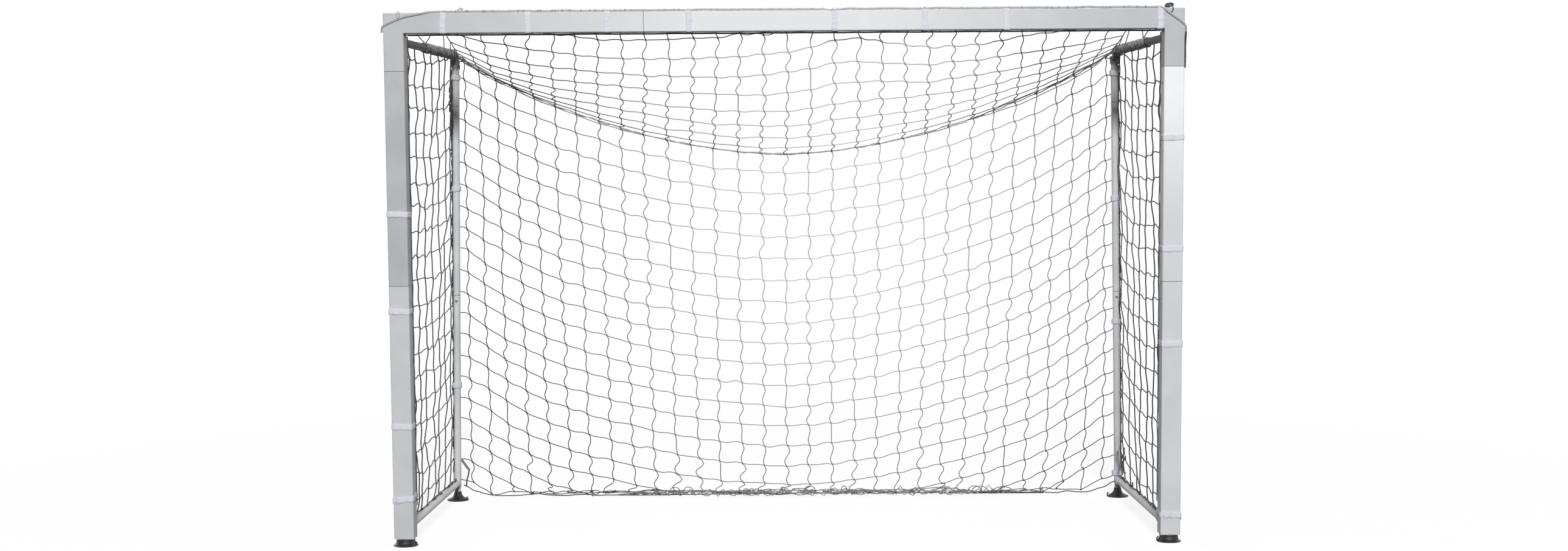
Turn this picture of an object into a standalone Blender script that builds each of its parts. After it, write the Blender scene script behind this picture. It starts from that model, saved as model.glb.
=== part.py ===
"""Portable futsal goal on suction feet.

Metres, +Z up, the mouth faces -Y and +X is to the right of someone who looks
into it. The origin is on the floor, at the middle of the goal's footprint.

The front frame is square tube in seven sections, the rear frame is round tube
in eight. Each section that points down, and the middle of the crossbar, ends
in a narrower spigot that plugs into the next section, where a sprung button
locks it. The four net panels hang on hook-and-loop straps.
"""

import math

import bmesh
import bpy
import numpy as np
from mathutils import Vector

# Front frame, square tube
INNER_WIDTH = 3.000
CLEAR_HEIGHT = 2.050
POST = 0.080
POST_WALL = 0.002
POST_EDGE = 0.004
CORNER_LEG = 0.228
CROSSBAR_MIDDLE = 1.104
UPRIGHT_MIDDLE = 0.850

# Rear frame, round tube
DEPTH = 1.190
TUBE_RADIUS = 0.016
TUBE_WALL = 0.0015
STUB_RADIUS = 0.0135
SIDE_BAR_INSET = 0.024
TOP_BAR_DROP = 0.030
LOW_BAR_HEIGHT = 0.080
TOE_IN = 0.016
NET_PULL = 0.028
BEND_RADIUS = 0.085
REAR_CORNER_LEG = 0.230
REAR_UPRIGHT_UPPER = 0.850
STUB_TAPER = 0.006

# Joints between sections
FIT = 0.0003
SPIGOT_WALL = 0.0015
POST_SPIGOT = 0.120
TUBE_SPIGOT = 0.080
SPIGOT_ROOT = 0.050
PEG_LENGTH = 0.070

# Snap buttons
BUTTON_RADIUS = 0.0045
BUTTON_PROUD = 0.003
BUTTON_LIP = 0.003
BUTTON_LIP_THICKNESS = 0.0015
POST_BUTTON_FROM_SEAM = 0.065
TUBE_BUTTON_FROM_SEAM = 0.027

# Suction feet
CUP_RADIUS = 0.050
CUP_RIM_WIDTH = 0.012
CUP_EDGE = 0.004
CUP_HOLLOW = 0.004
CUP_SHOULDER_RADIUS = 0.030
CUP_SHOULDER_HEIGHT = 0.020
FOOT_HEIGHT = 0.032
FOOT_COLLAR_RADIUS = 0.034
FOOT_STUD_RADIUS = 0.010
FOOT_STUD_LENGTH = 0.020
PLUG_FLANGE = 0.003
PLUG_LENGTH = 0.030
REAR_NECK_HEIGHT = 0.041
REAR_NECK_WALL = 0.0018
REAR_NECK_ROOT = 0.024
SOCKET_DEPTH = 0.014
TAB_WIDTH = 0.012
TAB_THICKNESS = 0.005
TAB_HEIGHT = 0.014

# Straps
STRAP_WIDTH = 0.025
STRAP_THICKNESS = 0.0015
BAR_STRAP_GAP = 0.006
LEFT_STRAPS_FROM_SEAM = (-0.791, -0.457, -0.143, 0.178)
RIGHT_STRAPS_FROM_SEAM = (-0.350, 0.004, 0.327)
POST_STRAPS_BELOW_BAR = {"left": (0.714, 1.100), "right": (0.428, 0.866, 1.248)}
POST_STRAPS_ABOVE_FLOOR = {"left": (0.487, 0.197), "right": ()}
REAR_STRAPS_BELOW_BAR = {"left": (0.598, 1.490), "right": (0.660, 1.217)}
REAR_TOP_STRAP_BELOW_BEND = 0.002

# Net
TWINE = 0.004
NET_PITCH = 0.250
RIDGE_SAG = 0.430
RIDGE_FORWARD = 0.530
RIDGE_SQUARENESS = 5
RIDGE_BELOW_BAR = 0.026
HEM_HEIGHT = 0.010
HEM_BEHIND = 0.075
FLARE_HEIGHT = 0.450

# Facets
TUBE_SIDES = 16
BEND_STEPS = 6
EDGE_STEPS = 3
CUP_SIDES = 20
BUTTON_SIDES = 12
SHARP_DEGREES = 35

# Places worked out from the sizes above
STANDOFF = STRAP_THICKNESS + 2 * FIT
FRONT_REACH = max(CUP_RADIUS - POST / 2, FIT + STRAP_THICKNESS)
REAR_REACH = max(CUP_RADIUS, HEM_BEHIND + TWINE / 2)
FRONT_Y = FRONT_REACH - (FRONT_REACH + DEPTH + REAR_REACH) / 2
BACK_OF_POST_Y = FRONT_Y + POST
POST_Y = FRONT_Y + POST / 2
REAR_Y = FRONT_Y + DEPTH
POST_X = INNER_WIDTH / 2 + POST / 2
CROSSBAR_Z = CLEAR_HEIGHT + POST / 2
CORNER_SEAM_Z = CLEAR_HEIGHT + POST - CORNER_LEG
POST_SEAM_Z = CORNER_SEAM_Z - UPRIGHT_MIDDLE
TOP_BAR_Z = CLEAR_HEIGHT - TOP_BAR_DROP
REAR_CORNER_SEAM_Z = TOP_BAR_Z - REAR_CORNER_LEG
REAR_SEAM_Z = REAR_CORNER_SEAM_Z - REAR_UPRIGHT_UPPER
SIDE_BAR_X = INNER_WIDTH / 2 + SIDE_BAR_INSET
REAR_FOOT_X = SIDE_BAR_X - TOE_IN
REAR_TOP_X = REAR_FOOT_X - NET_PULL
POST_SPIGOT_HALF = POST / 2 - POST_WALL - FIT
POST_SPIGOT_BORE = POST_SPIGOT_HALF - SPIGOT_WALL
TUBE_SPIGOT_RADIUS = TUBE_RADIUS - TUBE_WALL - FIT
TUBE_SPIGOT_BORE = TUBE_SPIGOT_RADIUS - SPIGOT_WALL
SOCKET_FLOOR = REAR_NECK_HEIGHT - SOCKET_DEPTH
SIDES = {"left": -1, "right": 1}

# Colours as linear values, with roughness and metallic
FINISHES = {
    "painted_post": ((0.60, 0.62, 0.63), 0.35, 0.0),
    "painted_tube": ((0.40, 0.42, 0.43), 0.40, 0.0),
    "steel_button": ((0.30, 0.30, 0.29), 0.30, 1.0),
    "black_rubber": ((0.012, 0.012, 0.012), 0.55, 0.0),
    "plug_plastic": ((0.62, 0.63, 0.63), 0.50, 0.0),
    "strap_fabric": ((0.66, 0.66, 0.80), 0.85, 0.0),
    "net_twine": ((0.20, 0.20, 0.20), 0.80, 0.0),
}


def material(name):
    """The named finish as a Principled material."""
    found = bpy.data.materials.get(name)
    if found:
        return found
    colour, roughness, metallic = FINISHES[name]
    made = bpy.data.materials.new(name)
    made.use_nodes = True
    shader = made.node_tree.nodes["Principled BSDF"]
    shader.inputs["Base Color"].default_value = (*colour, 1.0)
    shader.inputs["Roughness"].default_value = roughness
    shader.inputs["Metallic"].default_value = metallic
    made.diffuse_color = (*colour, 1.0)
    return made


def circle(radius, sides=TUBE_SIDES):
    """Section of a round tube: (across, up) pairs."""
    turns = [2 * math.pi * (i + 0.5) / sides for i in range(sides)]
    return [(radius * math.cos(t), radius * math.sin(t)) for t in turns]


def square(half, edge=0.0, sides=4 * (EDGE_STEPS + 1)):
    """Section of a square tube whose four edges are rounded to a radius."""
    per_edge = sides // 4
    points = []
    for corner in range(4):
        for step in range(per_edge):
            turn = math.pi / 2 * (corner + step / (per_edge - 1))
            quarter = math.pi / 2 * (corner + 0.5)
            out = (half - edge) * math.sqrt(2)
            across = out * math.cos(quarter) + edge * math.cos(turn)
            up = out * math.sin(quarter) + edge * math.sin(turn)
            points.append((across, up))
    return points


def squared_circle(half, edge, sides):
    """Points at even turns, pushed out to a square with rounded edges."""
    turns = [2 * math.pi * (i + 0.5) / sides for i in range(sides)]
    furthest = (half - edge) * math.sqrt(2) + edge
    points = []
    for t in turns:
        reach = min(furthest, half / max(abs(math.cos(t)), abs(math.sin(t))))
        points.append((reach * math.cos(t), reach * math.sin(t)))
    return points


def flat_ring(section, x, y, z):
    """A section laid level, for uprights and feet."""
    return [Vector((x + a, y + b, z)) for a, b in section]


def bar_ring(section, x, y, z):
    """A section stood across the crossbar's run along X."""
    return [Vector((x, y + b, z - a)) for a, b in section]


def tilted_ring(section, x, y, z, bend=0.0):
    """A section across a bar that runs back, bent down by an angle."""
    up = Vector((0, math.sin(bend), math.cos(bend)))
    return [Vector((x, y, z)) + Vector((a, 0, 0)) + b * up for a, b in section]


def mirrored(rings, side):
    """Rings as built for the right side, on the side asked for."""
    return [[Vector((side * p.x, p.y, p.z)) for p in ring] for ring in rings]


def add_object(name, mesh, finish):
    """A named object in the scene, with its finish and smooth round faces."""
    mesh.materials.append(material(finish))
    mesh.shade_smooth()
    mesh.set_sharp_from_angle(angle=math.radians(SHARP_DEGREES))
    made = bpy.data.objects.new(name, mesh)
    bpy.context.scene.collection.objects.link(made)
    return made


def loft(name, rings, finish, looped=True):
    """Skin over rings of equal count: looped into a tube wall, or capped."""
    work = bmesh.new()
    corners = [[work.verts.new(p) for p in ring] for ring in rings]
    count = len(corners[0])
    spans = len(corners) if looped else len(corners) - 1
    for i in range(spans):
        here, there = corners[i], corners[(i + 1) % len(corners)]
        for k in range(count):
            following = (k + 1) % count
            work.faces.new((here[k], here[following], there[following], there[k]))
    if not looped:
        work.faces.new(corners[0])
        work.faces.new(corners[-1])
    bmesh.ops.recalc_face_normals(work, faces=work.faces)
    mesh = bpy.data.meshes.new(name)
    work.to_mesh(mesh)
    work.free()
    return add_object(name, mesh, finish)


def combine(target, tool, operation):
    """A Boolean with a hidden tool object, cut or joined exactly."""
    tool.hide_render = True
    tool.display_type = "WIRE"
    step = target.modifiers.new(tool.name, "BOOLEAN")
    step.operation = operation
    step.solver = "EXACT"
    step.object = tool


def rod_tool(name, start, direction, radius, length):
    """A plain rod used to bore a hole."""
    direction = Vector(direction).normalized()
    across = direction.orthogonal().normalized()
    up = direction.cross(across)
    rings = []
    for reach in (0, length):
        centre = Vector(start) + reach * direction
        section = circle(radius, BUTTON_SIDES)
        rings.append([centre + a * across + b * up for a, b in section])
    return loft(name, rings, "steel_button", looped=False)


def bore_for_button(target, label, centre, inward, reach):
    """A round hole through one wall, where a snap button comes out."""
    start = Vector(centre) - reach * Vector(inward)
    tool = rod_tool("hole_" + label, start, inward, BUTTON_RADIUS + FIT, 2 * reach)
    combine(target, tool, "DIFFERENCE")


def rear_x(z):
    """Distance of a rear upright's axis from the middle, at a height."""
    rise = max(0.0, z - LOW_BAR_HEIGHT) / (TOP_BAR_Z - LOW_BAR_HEIGHT)
    return REAR_FOOT_X - NET_PULL * min(1.0, rise)


def side_bar_x(y, z):
    """Distance of a side bar's axis from the middle, toeing in to the rear."""
    along = (y - BACK_OF_POST_Y) / (REAR_Y - BACK_OF_POST_Y)
    return SIDE_BAR_X + (rear_x(z) - SIDE_BAR_X) * along


POST_OUTER = square(POST / 2, POST_EDGE)
POST_INNER = square(POST / 2 - POST_WALL, POST_EDGE - POST_WALL)
POST_SPIGOT_OUTER = square(POST_SPIGOT_HALF, POST_EDGE - POST_WALL)
POST_SPIGOT_INNER = square(POST_SPIGOT_BORE, POST_EDGE - POST_WALL)
TUBE_OUTER = circle(TUBE_RADIUS)
TUBE_INNER = circle(TUBE_RADIUS - TUBE_WALL)
TUBE_SPIGOT_OUTER = circle(TUBE_SPIGOT_RADIUS)
TUBE_SPIGOT_INNER = circle(TUBE_SPIGOT_BORE)


def post_at(section, z):
    """A level ring of the right post at a height."""
    return flat_ring(section, POST_X, POST_Y, z)


def spigot_down(ring, inner, spigot_outer, spigot_inner, seam, reach):
    """Rings from a section's bore, round the spigot below its seam."""
    return [
        ring(inner, seam + SPIGOT_ROOT),
        ring(spigot_inner, seam + SPIGOT_ROOT),
        ring(spigot_inner, seam - reach),
        ring(spigot_outer, seam - reach),
        ring(spigot_outer, seam),
    ]


def post_peg(side_name, z, level):
    """A peg on the back of a post, for a side bar to slide over."""
    rings = []
    for y in (BACK_OF_POST_Y - POST_WALL / 2, BACK_OF_POST_Y + PEG_LENGTH):
        rings.append(tilted_ring(TUBE_SPIGOT_OUTER, side_bar_x(y, z), y, z))
    side = SIDES[side_name]
    return loft("peg_" + level + "_" + side_name, mirrored(rings, side), "painted_post", False)


def build_corner(side_name):
    """Mitred corner: a leg with a spigot below, and its part of the crossbar."""
    side = SIDES[side_name]
    bar_end = CROSSBAR_MIDDLE / 2 + FIT

    def mitre(section):
        return [Vector((POST_X + a, POST_Y + b, CROSSBAR_Z + a)) for a, b in section]

    def bar(section):
        return [Vector((bar_end, POST_Y + b, CROSSBAR_Z + a)) for a, b in section]

    rings = [post_at(POST_OUTER, CORNER_SEAM_Z), mitre(POST_OUTER), bar(POST_OUTER)]
    rings += [bar(POST_INNER), mitre(POST_INNER)]
    rings += spigot_down(
        post_at, POST_INNER, POST_SPIGOT_OUTER, POST_SPIGOT_INNER, CORNER_SEAM_Z, POST_SPIGOT
    )
    corner = loft("corner_" + side_name, mirrored(rings, side), "painted_post")
    combine(corner, post_peg(side_name, TOP_BAR_Z, "top"), "UNION")
    return corner


def build_crossbar_middle():
    """Middle of the crossbar, with a spigot at each end."""
    end = CROSSBAR_MIDDLE / 2
    stops = (
        (POST_OUTER, end),
        (POST_SPIGOT_OUTER, end),
        (POST_SPIGOT_OUTER, end + POST_SPIGOT),
        (POST_SPIGOT_INNER, end + POST_SPIGOT),
        (POST_SPIGOT_INNER, end - SPIGOT_ROOT),
        (POST_INNER, end - SPIGOT_ROOT),
    )
    right = [bar_ring(section, x, POST_Y, CROSSBAR_Z) for section, x in stops]
    left = [bar_ring(section, -x, POST_Y, CROSSBAR_Z) for section, x in reversed(stops)]
    return loft("crossbar_middle", right + left, "painted_post")


def build_upright_middle(side_name):
    """Middle section of a front upright, with its spigot below."""
    top = CORNER_SEAM_Z - FIT
    rings = [post_at(POST_OUTER, POST_SEAM_Z), post_at(POST_OUTER, top), post_at(POST_INNER, top)]
    rings += spigot_down(
        post_at, POST_INNER, POST_SPIGOT_OUTER, POST_SPIGOT_INNER, POST_SEAM_Z, POST_SPIGOT
    )
    return loft("upright_middle_" + side_name, mirrored(rings, SIDES[side_name]), "painted_post")


def build_upright_lower(side_name):
    """Lowest section of a front upright, open below for its foot's plug."""
    top = POST_SEAM_Z - FIT
    bottom = FOOT_HEIGHT + FIT + PLUG_FLANGE + FIT
    rings = [post_at(POST_OUTER, bottom), post_at(POST_OUTER, top)]
    rings += [post_at(POST_INNER, top), post_at(POST_INNER, bottom)]
    upright = loft("upright_lower_" + side_name, mirrored(rings, SIDES[side_name]), "painted_post")
    combine(upright, post_peg(side_name, LOW_BAR_HEIGHT, "low"), "UNION")
    return upright


def rear_at(section, z):
    """A level ring of the right rear upright at a height."""
    return flat_ring(section, rear_x(z), REAR_Y, z)


def build_top_side_bar(side_name):
    """Bar that runs back from the corner and bends down, with a spigot below."""
    arc_x = side_bar_x(REAR_Y - BEND_RADIUS, TOP_BAR_Z)
    foot_x = rear_x(TOP_BAR_Z - BEND_RADIUS)

    def route(section):
        start = BACK_OF_POST_Y + FIT
        rings = [tilted_ring(section, side_bar_x(start, TOP_BAR_Z), start, TOP_BAR_Z)]
        for step in range(BEND_STEPS + 1):
            part = step / BEND_STEPS
            bend = math.pi / 2 * part
            y = REAR_Y - BEND_RADIUS * (1 - math.sin(bend))
            z = TOP_BAR_Z - BEND_RADIUS * (1 - math.cos(bend))
            rings.append(tilted_ring(section, arc_x + (foot_x - arc_x) * part, y, z, bend))
        return rings

    outer = route(TUBE_OUTER) + [rear_at(TUBE_OUTER, REAR_CORNER_SEAM_Z)]
    inner = route(TUBE_INNER)
    spigot = spigot_down(
        rear_at, TUBE_INNER, TUBE_SPIGOT_OUTER, TUBE_SPIGOT_INNER, REAR_CORNER_SEAM_Z, TUBE_SPIGOT
    )
    rings = outer + spigot[::-1] + inner[::-1]
    return loft("top_side_bar_" + side_name, mirrored(rings, SIDES[side_name]), "painted_tube")


def build_rear_upright_upper(side_name):
    """Upper straight section of a rear upright, with its spigot below."""
    top = REAR_CORNER_SEAM_Z - FIT
    rings = [rear_at(TUBE_OUTER, REAR_SEAM_Z), rear_at(TUBE_OUTER, top), rear_at(TUBE_INNER, top)]
    rings += spigot_down(
        rear_at, TUBE_INNER, TUBE_SPIGOT_OUTER, TUBE_SPIGOT_INNER, REAR_SEAM_Z, TUBE_SPIGOT
    )
    return loft("rear_upright_upper_" + side_name, mirrored(rings, SIDES[side_name]), "painted_tube")


def build_rear_upright_lower(side_name):
    """Lower section of a rear upright: a tee for the low bar, then a stub."""
    side = SIDES[side_name]
    top = REAR_SEAM_Z - FIT
    shoulder = LOW_BAR_HEIGHT - TUBE_RADIUS
    stub_top = shoulder - STUB_TAPER
    bottom = SOCKET_FLOOR + FIT
    stub_outer = circle(STUB_RADIUS)
    stub_inner = circle(STUB_RADIUS - TUBE_WALL)
    rings = [
        rear_at(TUBE_OUTER, top),
        rear_at(TUBE_OUTER, shoulder),
        rear_at(stub_outer, stub_top),
        rear_at(stub_outer, bottom),
        rear_at(stub_inner, bottom),
        rear_at(stub_inner, stub_top),
        rear_at(TUBE_INNER, shoulder),
        rear_at(TUBE_INNER, top),
    ]
    upright = loft("rear_upright_lower_" + side_name, mirrored(rings, side), "painted_tube")
    peg = []
    for y in (REAR_Y - TUBE_RADIUS / 2, REAR_Y - TUBE_RADIUS - PEG_LENGTH):
        x = side_bar_x(y, LOW_BAR_HEIGHT)
        peg.append(tilted_ring(TUBE_SPIGOT_OUTER, x, y, LOW_BAR_HEIGHT))
    tee = loft("tee_peg_" + side_name, mirrored(peg, side), "painted_tube", False)
    combine(upright, tee, "UNION")
    return upright


def build_bottom_side_bar(side_name):
    """Low bar between the pegs, its rear end hollowed to fit the upright."""
    side = SIDES[side_name]
    ends = (BACK_OF_POST_Y + FIT, REAR_Y)
    rings = []
    for section, order in ((TUBE_OUTER, ends), (TUBE_INNER, ends[::-1])):
        for y in order:
            rings.append(tilted_ring(section, side_bar_x(y, LOW_BAR_HEIGHT), y, LOW_BAR_HEIGHT))
    bar = loft("bottom_side_bar_" + side_name, mirrored(rings, side), "painted_tube")
    saddle = circle(TUBE_RADIUS + FIT)
    reach = 2 * TUBE_RADIUS
    heights = (LOW_BAR_HEIGHT - reach, LOW_BAR_HEIGHT + reach)
    tool = loft(
        "saddle_" + side_name,
        mirrored([rear_at(saddle, z) for z in heights], side),
        "painted_tube",
        False,
    )
    combine(bar, tool, "DIFFERENCE")
    return bar


def cup_profile():
    """Radius and height of a cup: hollow underside, rim, and domed top."""
    rim_inner = CUP_RADIUS - CUP_RIM_WIDTH
    slope = CUP_SHOULDER_HEIGHT - CUP_EDGE
    return [
        (rim_inner * 0.2, CUP_HOLLOW),
        (rim_inner * 0.8, CUP_HOLLOW * 0.4),
        (rim_inner, 0.0),
        (CUP_RADIUS - CUP_EDGE / 4, 0.0),
        (CUP_RADIUS, CUP_EDGE / 2),
        (CUP_RADIUS - CUP_EDGE / 4, CUP_EDGE),
        (CUP_SHOULDER_RADIUS + (CUP_RADIUS - CUP_SHOULDER_RADIUS) * 0.35, CUP_EDGE + slope * 0.25),
        (CUP_SHOULDER_RADIUS, CUP_EDGE + slope * 0.65),
    ]


def add_tab(foot, label, x, y, side):
    """The pull tab that stands on the inner side of a cup's rim."""
    reach = CUP_RADIUS - CUP_RIM_WIDTH * 0.6
    inner = x - side * reach
    rings = []
    for z, width in ((CUP_EDGE / 2, TAB_WIDTH), (CUP_EDGE + TAB_HEIGHT, TAB_WIDTH * 0.7)):
        half_x, half_y = TAB_THICKNESS / 2, width / 2
        ring = [(-half_x, -half_y), (half_x, -half_y), (half_x, half_y), (-half_x, half_y)]
        rings.append(flat_ring(ring, inner, y, z))
    combine(foot, loft("tab_" + label, rings, "black_rubber", False), "UNION")


def build_post_plug(side_name):
    """Plastic plug in a post's open end, with a flange and a hole for the foot."""
    x = SIDES[side_name] * POST_X
    edge = POST_EDGE - POST_WALL
    flange = squared_circle(POST / 2, POST_EDGE, CUP_SIDES)
    plug = squared_circle(POST / 2 - POST_WALL - FIT, edge, CUP_SIDES)
    bore = circle(FOOT_STUD_RADIUS + FIT, CUP_SIDES)
    low = FOOT_HEIGHT + FIT
    high = low + PLUG_FLANGE
    top = high + PLUG_LENGTH
    stops = ((flange, low), (flange, high), (plug, high), (plug, top), (bore, top), (bore, low))
    rings = [flat_ring(section, x, POST_Y, z) for section, z in stops]
    return loft("post_plug_" + side_name, rings, "plug_plastic")


def build_front_foot(side_name):
    """Suction cup under a post, with a stud up into the post's plug."""
    side = SIDES[side_name]
    x = side * POST_X
    profile = cup_profile()
    profile += [
        (FOOT_COLLAR_RADIUS, CUP_SHOULDER_HEIGHT),
        (FOOT_COLLAR_RADIUS, FOOT_HEIGHT),
        (FOOT_STUD_RADIUS, FOOT_HEIGHT),
        (FOOT_STUD_RADIUS, FOOT_HEIGHT + FOOT_STUD_LENGTH),
    ]
    rings = [flat_ring(circle(r, CUP_SIDES), x, POST_Y, z) for r, z in profile]
    foot = loft("foot_front_" + side_name, rings, "black_rubber", False)
    add_tab(foot, "front_" + side_name, x, POST_Y, side)
    return foot


def build_rear_foot(side_name):
    """Suction cup under a rear upright, with a socket for the stub."""
    side = SIDES[side_name]
    x = side * REAR_FOOT_X
    neck = STUB_RADIUS + FIT + REAR_NECK_WALL
    outer = cup_profile() + [(neck, REAR_NECK_ROOT), (neck, REAR_NECK_HEIGHT)]
    socket = STUB_RADIUS + FIT
    bore = [(socket, REAR_NECK_HEIGHT), (socket, SOCKET_FLOOR)]
    rings = [flat_ring(circle(r, CUP_SIDES), x, REAR_Y, z) for r, z in outer + bore]
    foot = loft("foot_rear_" + side_name, rings, "black_rubber", False)
    add_tab(foot, "rear_" + side_name, x, REAR_Y, side)
    return foot


def button(name, seat, outward, wall):
    """Snap button: a lip inside the spigot, a pin through both walls, a dome.

    seat is the point on the spigot's axis side where the lip's outer face
    lies, outward the way the pin points, and wall the distance from the seat
    to the outer surface. The object's origin is at the seat, on the axis.
    """
    outward = Vector(outward)
    across = outward.orthogonal().normalized()
    up = outward.cross(across)
    lip = BUTTON_RADIUS + BUTTON_LIP
    top = wall + BUTTON_PROUD
    stops = (
        (lip, -BUTTON_LIP_THICKNESS),
        (lip, 0.0),
        (BUTTON_RADIUS, 0.0),
        (BUTTON_RADIUS, top - BUTTON_RADIUS * 0.4),
        (BUTTON_RADIUS * 0.5, top),
    )
    rings = []
    for radius, height in stops:
        section = circle(radius, BUTTON_SIDES)
        rings.append([height * outward + a * across + b * up for a, b in section])
    made = loft(name, rings, "steel_button", False)
    made.location = seat
    return made


def crossbar_button(side_name, bar, corner):
    """Button through the underside of a crossbar joint."""
    side = SIDES[side_name]
    x = side * (CROSSBAR_MIDDLE / 2 + POST_BUTTON_FROM_SEAM)
    seat = Vector((x, POST_Y, CROSSBAR_Z - POST_SPIGOT_BORE + FIT))
    hole = (x, POST_Y, CROSSBAR_Z - POST / 2)
    bore_for_button(bar, "bar_" + side_name, hole, (0, 0, 1), POST / 4)
    bore_for_button(corner, "corner_bar_" + side_name, hole, (0, 0, 1), POST / 4)
    wall = POST / 2 - POST_SPIGOT_BORE + FIT
    button("button_crossbar_" + side_name, seat, (0, 0, -1), wall)


def post_button(label, side_name, seam, upper, lower):
    """Button through the inner side of an upright, under its seam."""
    side = SIDES[side_name]
    z = seam - POST_BUTTON_FROM_SEAM
    seat = Vector((side * (POST_X - POST_SPIGOT_BORE + FIT), POST_Y, z))
    hole = (side * (POST_X - POST / 2), POST_Y, z)
    inward = (side, 0, 0)
    name = label + "_" + side_name
    bore_for_button(upper, "upper_" + name, hole, inward, POST / 4)
    bore_for_button(lower, "lower_" + name, hole, inward, POST / 4)
    wall = POST / 2 - POST_SPIGOT_BORE + FIT
    button("button_" + name, seat, (-side, 0, 0), wall)


def rear_button(label, side_name, seam, upper, lower):
    """Button through the front of a rear upright, under its seam."""
    side = SIDES[side_name]
    z = seam - TUBE_BUTTON_FROM_SEAM
    x = side * rear_x(z)
    lip = BUTTON_RADIUS + BUTTON_LIP
    depth = math.sqrt(TUBE_SPIGOT_BORE**2 - lip**2) * math.cos(math.pi / TUBE_SIDES) - FIT
    seat = Vector((x, REAR_Y - depth, z))
    hole = (x, REAR_Y - TUBE_RADIUS, z)
    name = label + "_" + side_name
    bore_for_button(upper, "upper_" + name, hole, (0, 1, 0), TUBE_RADIUS / 2)
    bore_for_button(lower, "lower_" + name, hole, (0, 1, 0), TUBE_RADIUS / 2)
    button("button_" + name, seat, (0, -1, 0), TUBE_RADIUS - depth)


def band(name, ring_at, inner, outer, centre):
    """A strap as a closed band, from ring_at(section, place along the bar)."""
    ends = (centre - STRAP_WIDTH / 2, centre + STRAP_WIDTH / 2)
    rings = [ring_at(outer, ends[0]), ring_at(outer, ends[1])]
    rings += [ring_at(inner, ends[1]), ring_at(inner, ends[0])]
    return loft(name, rings, "strap_fabric")


def post_band_sections():
    """Inner and outer sections of a strap on square tube."""
    inner = square(POST / 2 + FIT, POST_EDGE + FIT)
    reach = FIT + STRAP_THICKNESS
    return inner, square(POST / 2 + reach, POST_EDGE + reach)


def tube_band_sections():
    """Inner and outer sections of a strap on round tube."""
    return circle(TUBE_RADIUS + FIT), circle(TUBE_RADIUS + FIT + STRAP_THICKNESS)


def build_crossbar_straps():
    """Straps round the crossbar, numbered from the left."""
    inner, outer = post_band_sections()

    def across(section, x):
        return bar_ring(section, x, POST_Y, CROSSBAR_Z)

    seam = CROSSBAR_MIDDLE / 2
    places = [-seam + offset for offset in LEFT_STRAPS_FROM_SEAM]
    places += [seam + offset for offset in RIGHT_STRAPS_FROM_SEAM]
    for number, x in enumerate(places, start=1):
        band(f"strap_crossbar_{number}", across, inner, outer, x)


def build_post_straps(side_name):
    """Straps round a front upright, numbered from the top."""
    side = SIDES[side_name]
    inner, outer = post_band_sections()

    def level(section, z):
        return flat_ring(section, side * POST_X, POST_Y, z)

    heights = [CLEAR_HEIGHT - drop for drop in POST_STRAPS_BELOW_BAR[side_name]]
    heights += POST_STRAPS_ABOVE_FLOOR[side_name]
    if side_name == "right":
        heights.append(LOW_BAR_HEIGHT + TUBE_RADIUS + STANDOFF + STRAP_WIDTH / 2)
    for number, z in enumerate(heights, start=1):
        band(f"strap_post_{side_name}_{number}", level, inner, outer, z)


def build_rear_straps(side_name):
    """Straps round a rear upright, numbered from the top."""
    side = SIDES[side_name]
    inner, outer = tube_band_sections()

    def level(section, z):
        return flat_ring(section, side * rear_x(z), REAR_Y, z)

    under_bend = TOP_BAR_Z - BEND_RADIUS - REAR_TOP_STRAP_BELOW_BEND - STRAP_WIDTH / 2
    heights = [under_bend]
    heights += [TOP_BAR_Z - drop for drop in REAR_STRAPS_BELOW_BAR[side_name]]
    if side_name == "right":
        heights.append(LOW_BAR_HEIGHT + TUBE_RADIUS + STANDOFF + STRAP_WIDTH / 2)
    for number, z in enumerate(heights, start=1):
        band(f"strap_rear_{side_name}_{number}", level, inner, outer, z)


def build_bar_straps(side_name):
    """Straps round the side bars' front ends. The right post's covers its low bar."""
    side = SIDES[side_name]
    inner, outer = tube_band_sections()
    front = BACK_OF_POST_Y + BAR_STRAP_GAP + STRAP_WIDTH / 2

    def along(z):
        return lambda section, y: tilted_ring(section, side * side_bar_x(y, z), y, z)

    band(f"strap_top_bar_{side_name}", along(TOP_BAR_Z), inner, outer, front)
    if side_name == "left":
        band("strap_low_bar_left", along(LOW_BAR_HEIGHT), inner, outer, front)


def line_edges(length):
    """Both edges of each strand across a length, as distances along it."""
    gaps = max(1, round(length / NET_PITCH))
    centres = np.linspace(TWINE / 2, length - TWINE / 2, gaps + 1)
    return np.stack([centres - TWINE / 2, centres + TWINE / 2], axis=1).ravel()


def line_shares(length):
    """Both edges of each strand across a length, as shares of it."""
    return line_edges(length) / length


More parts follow.
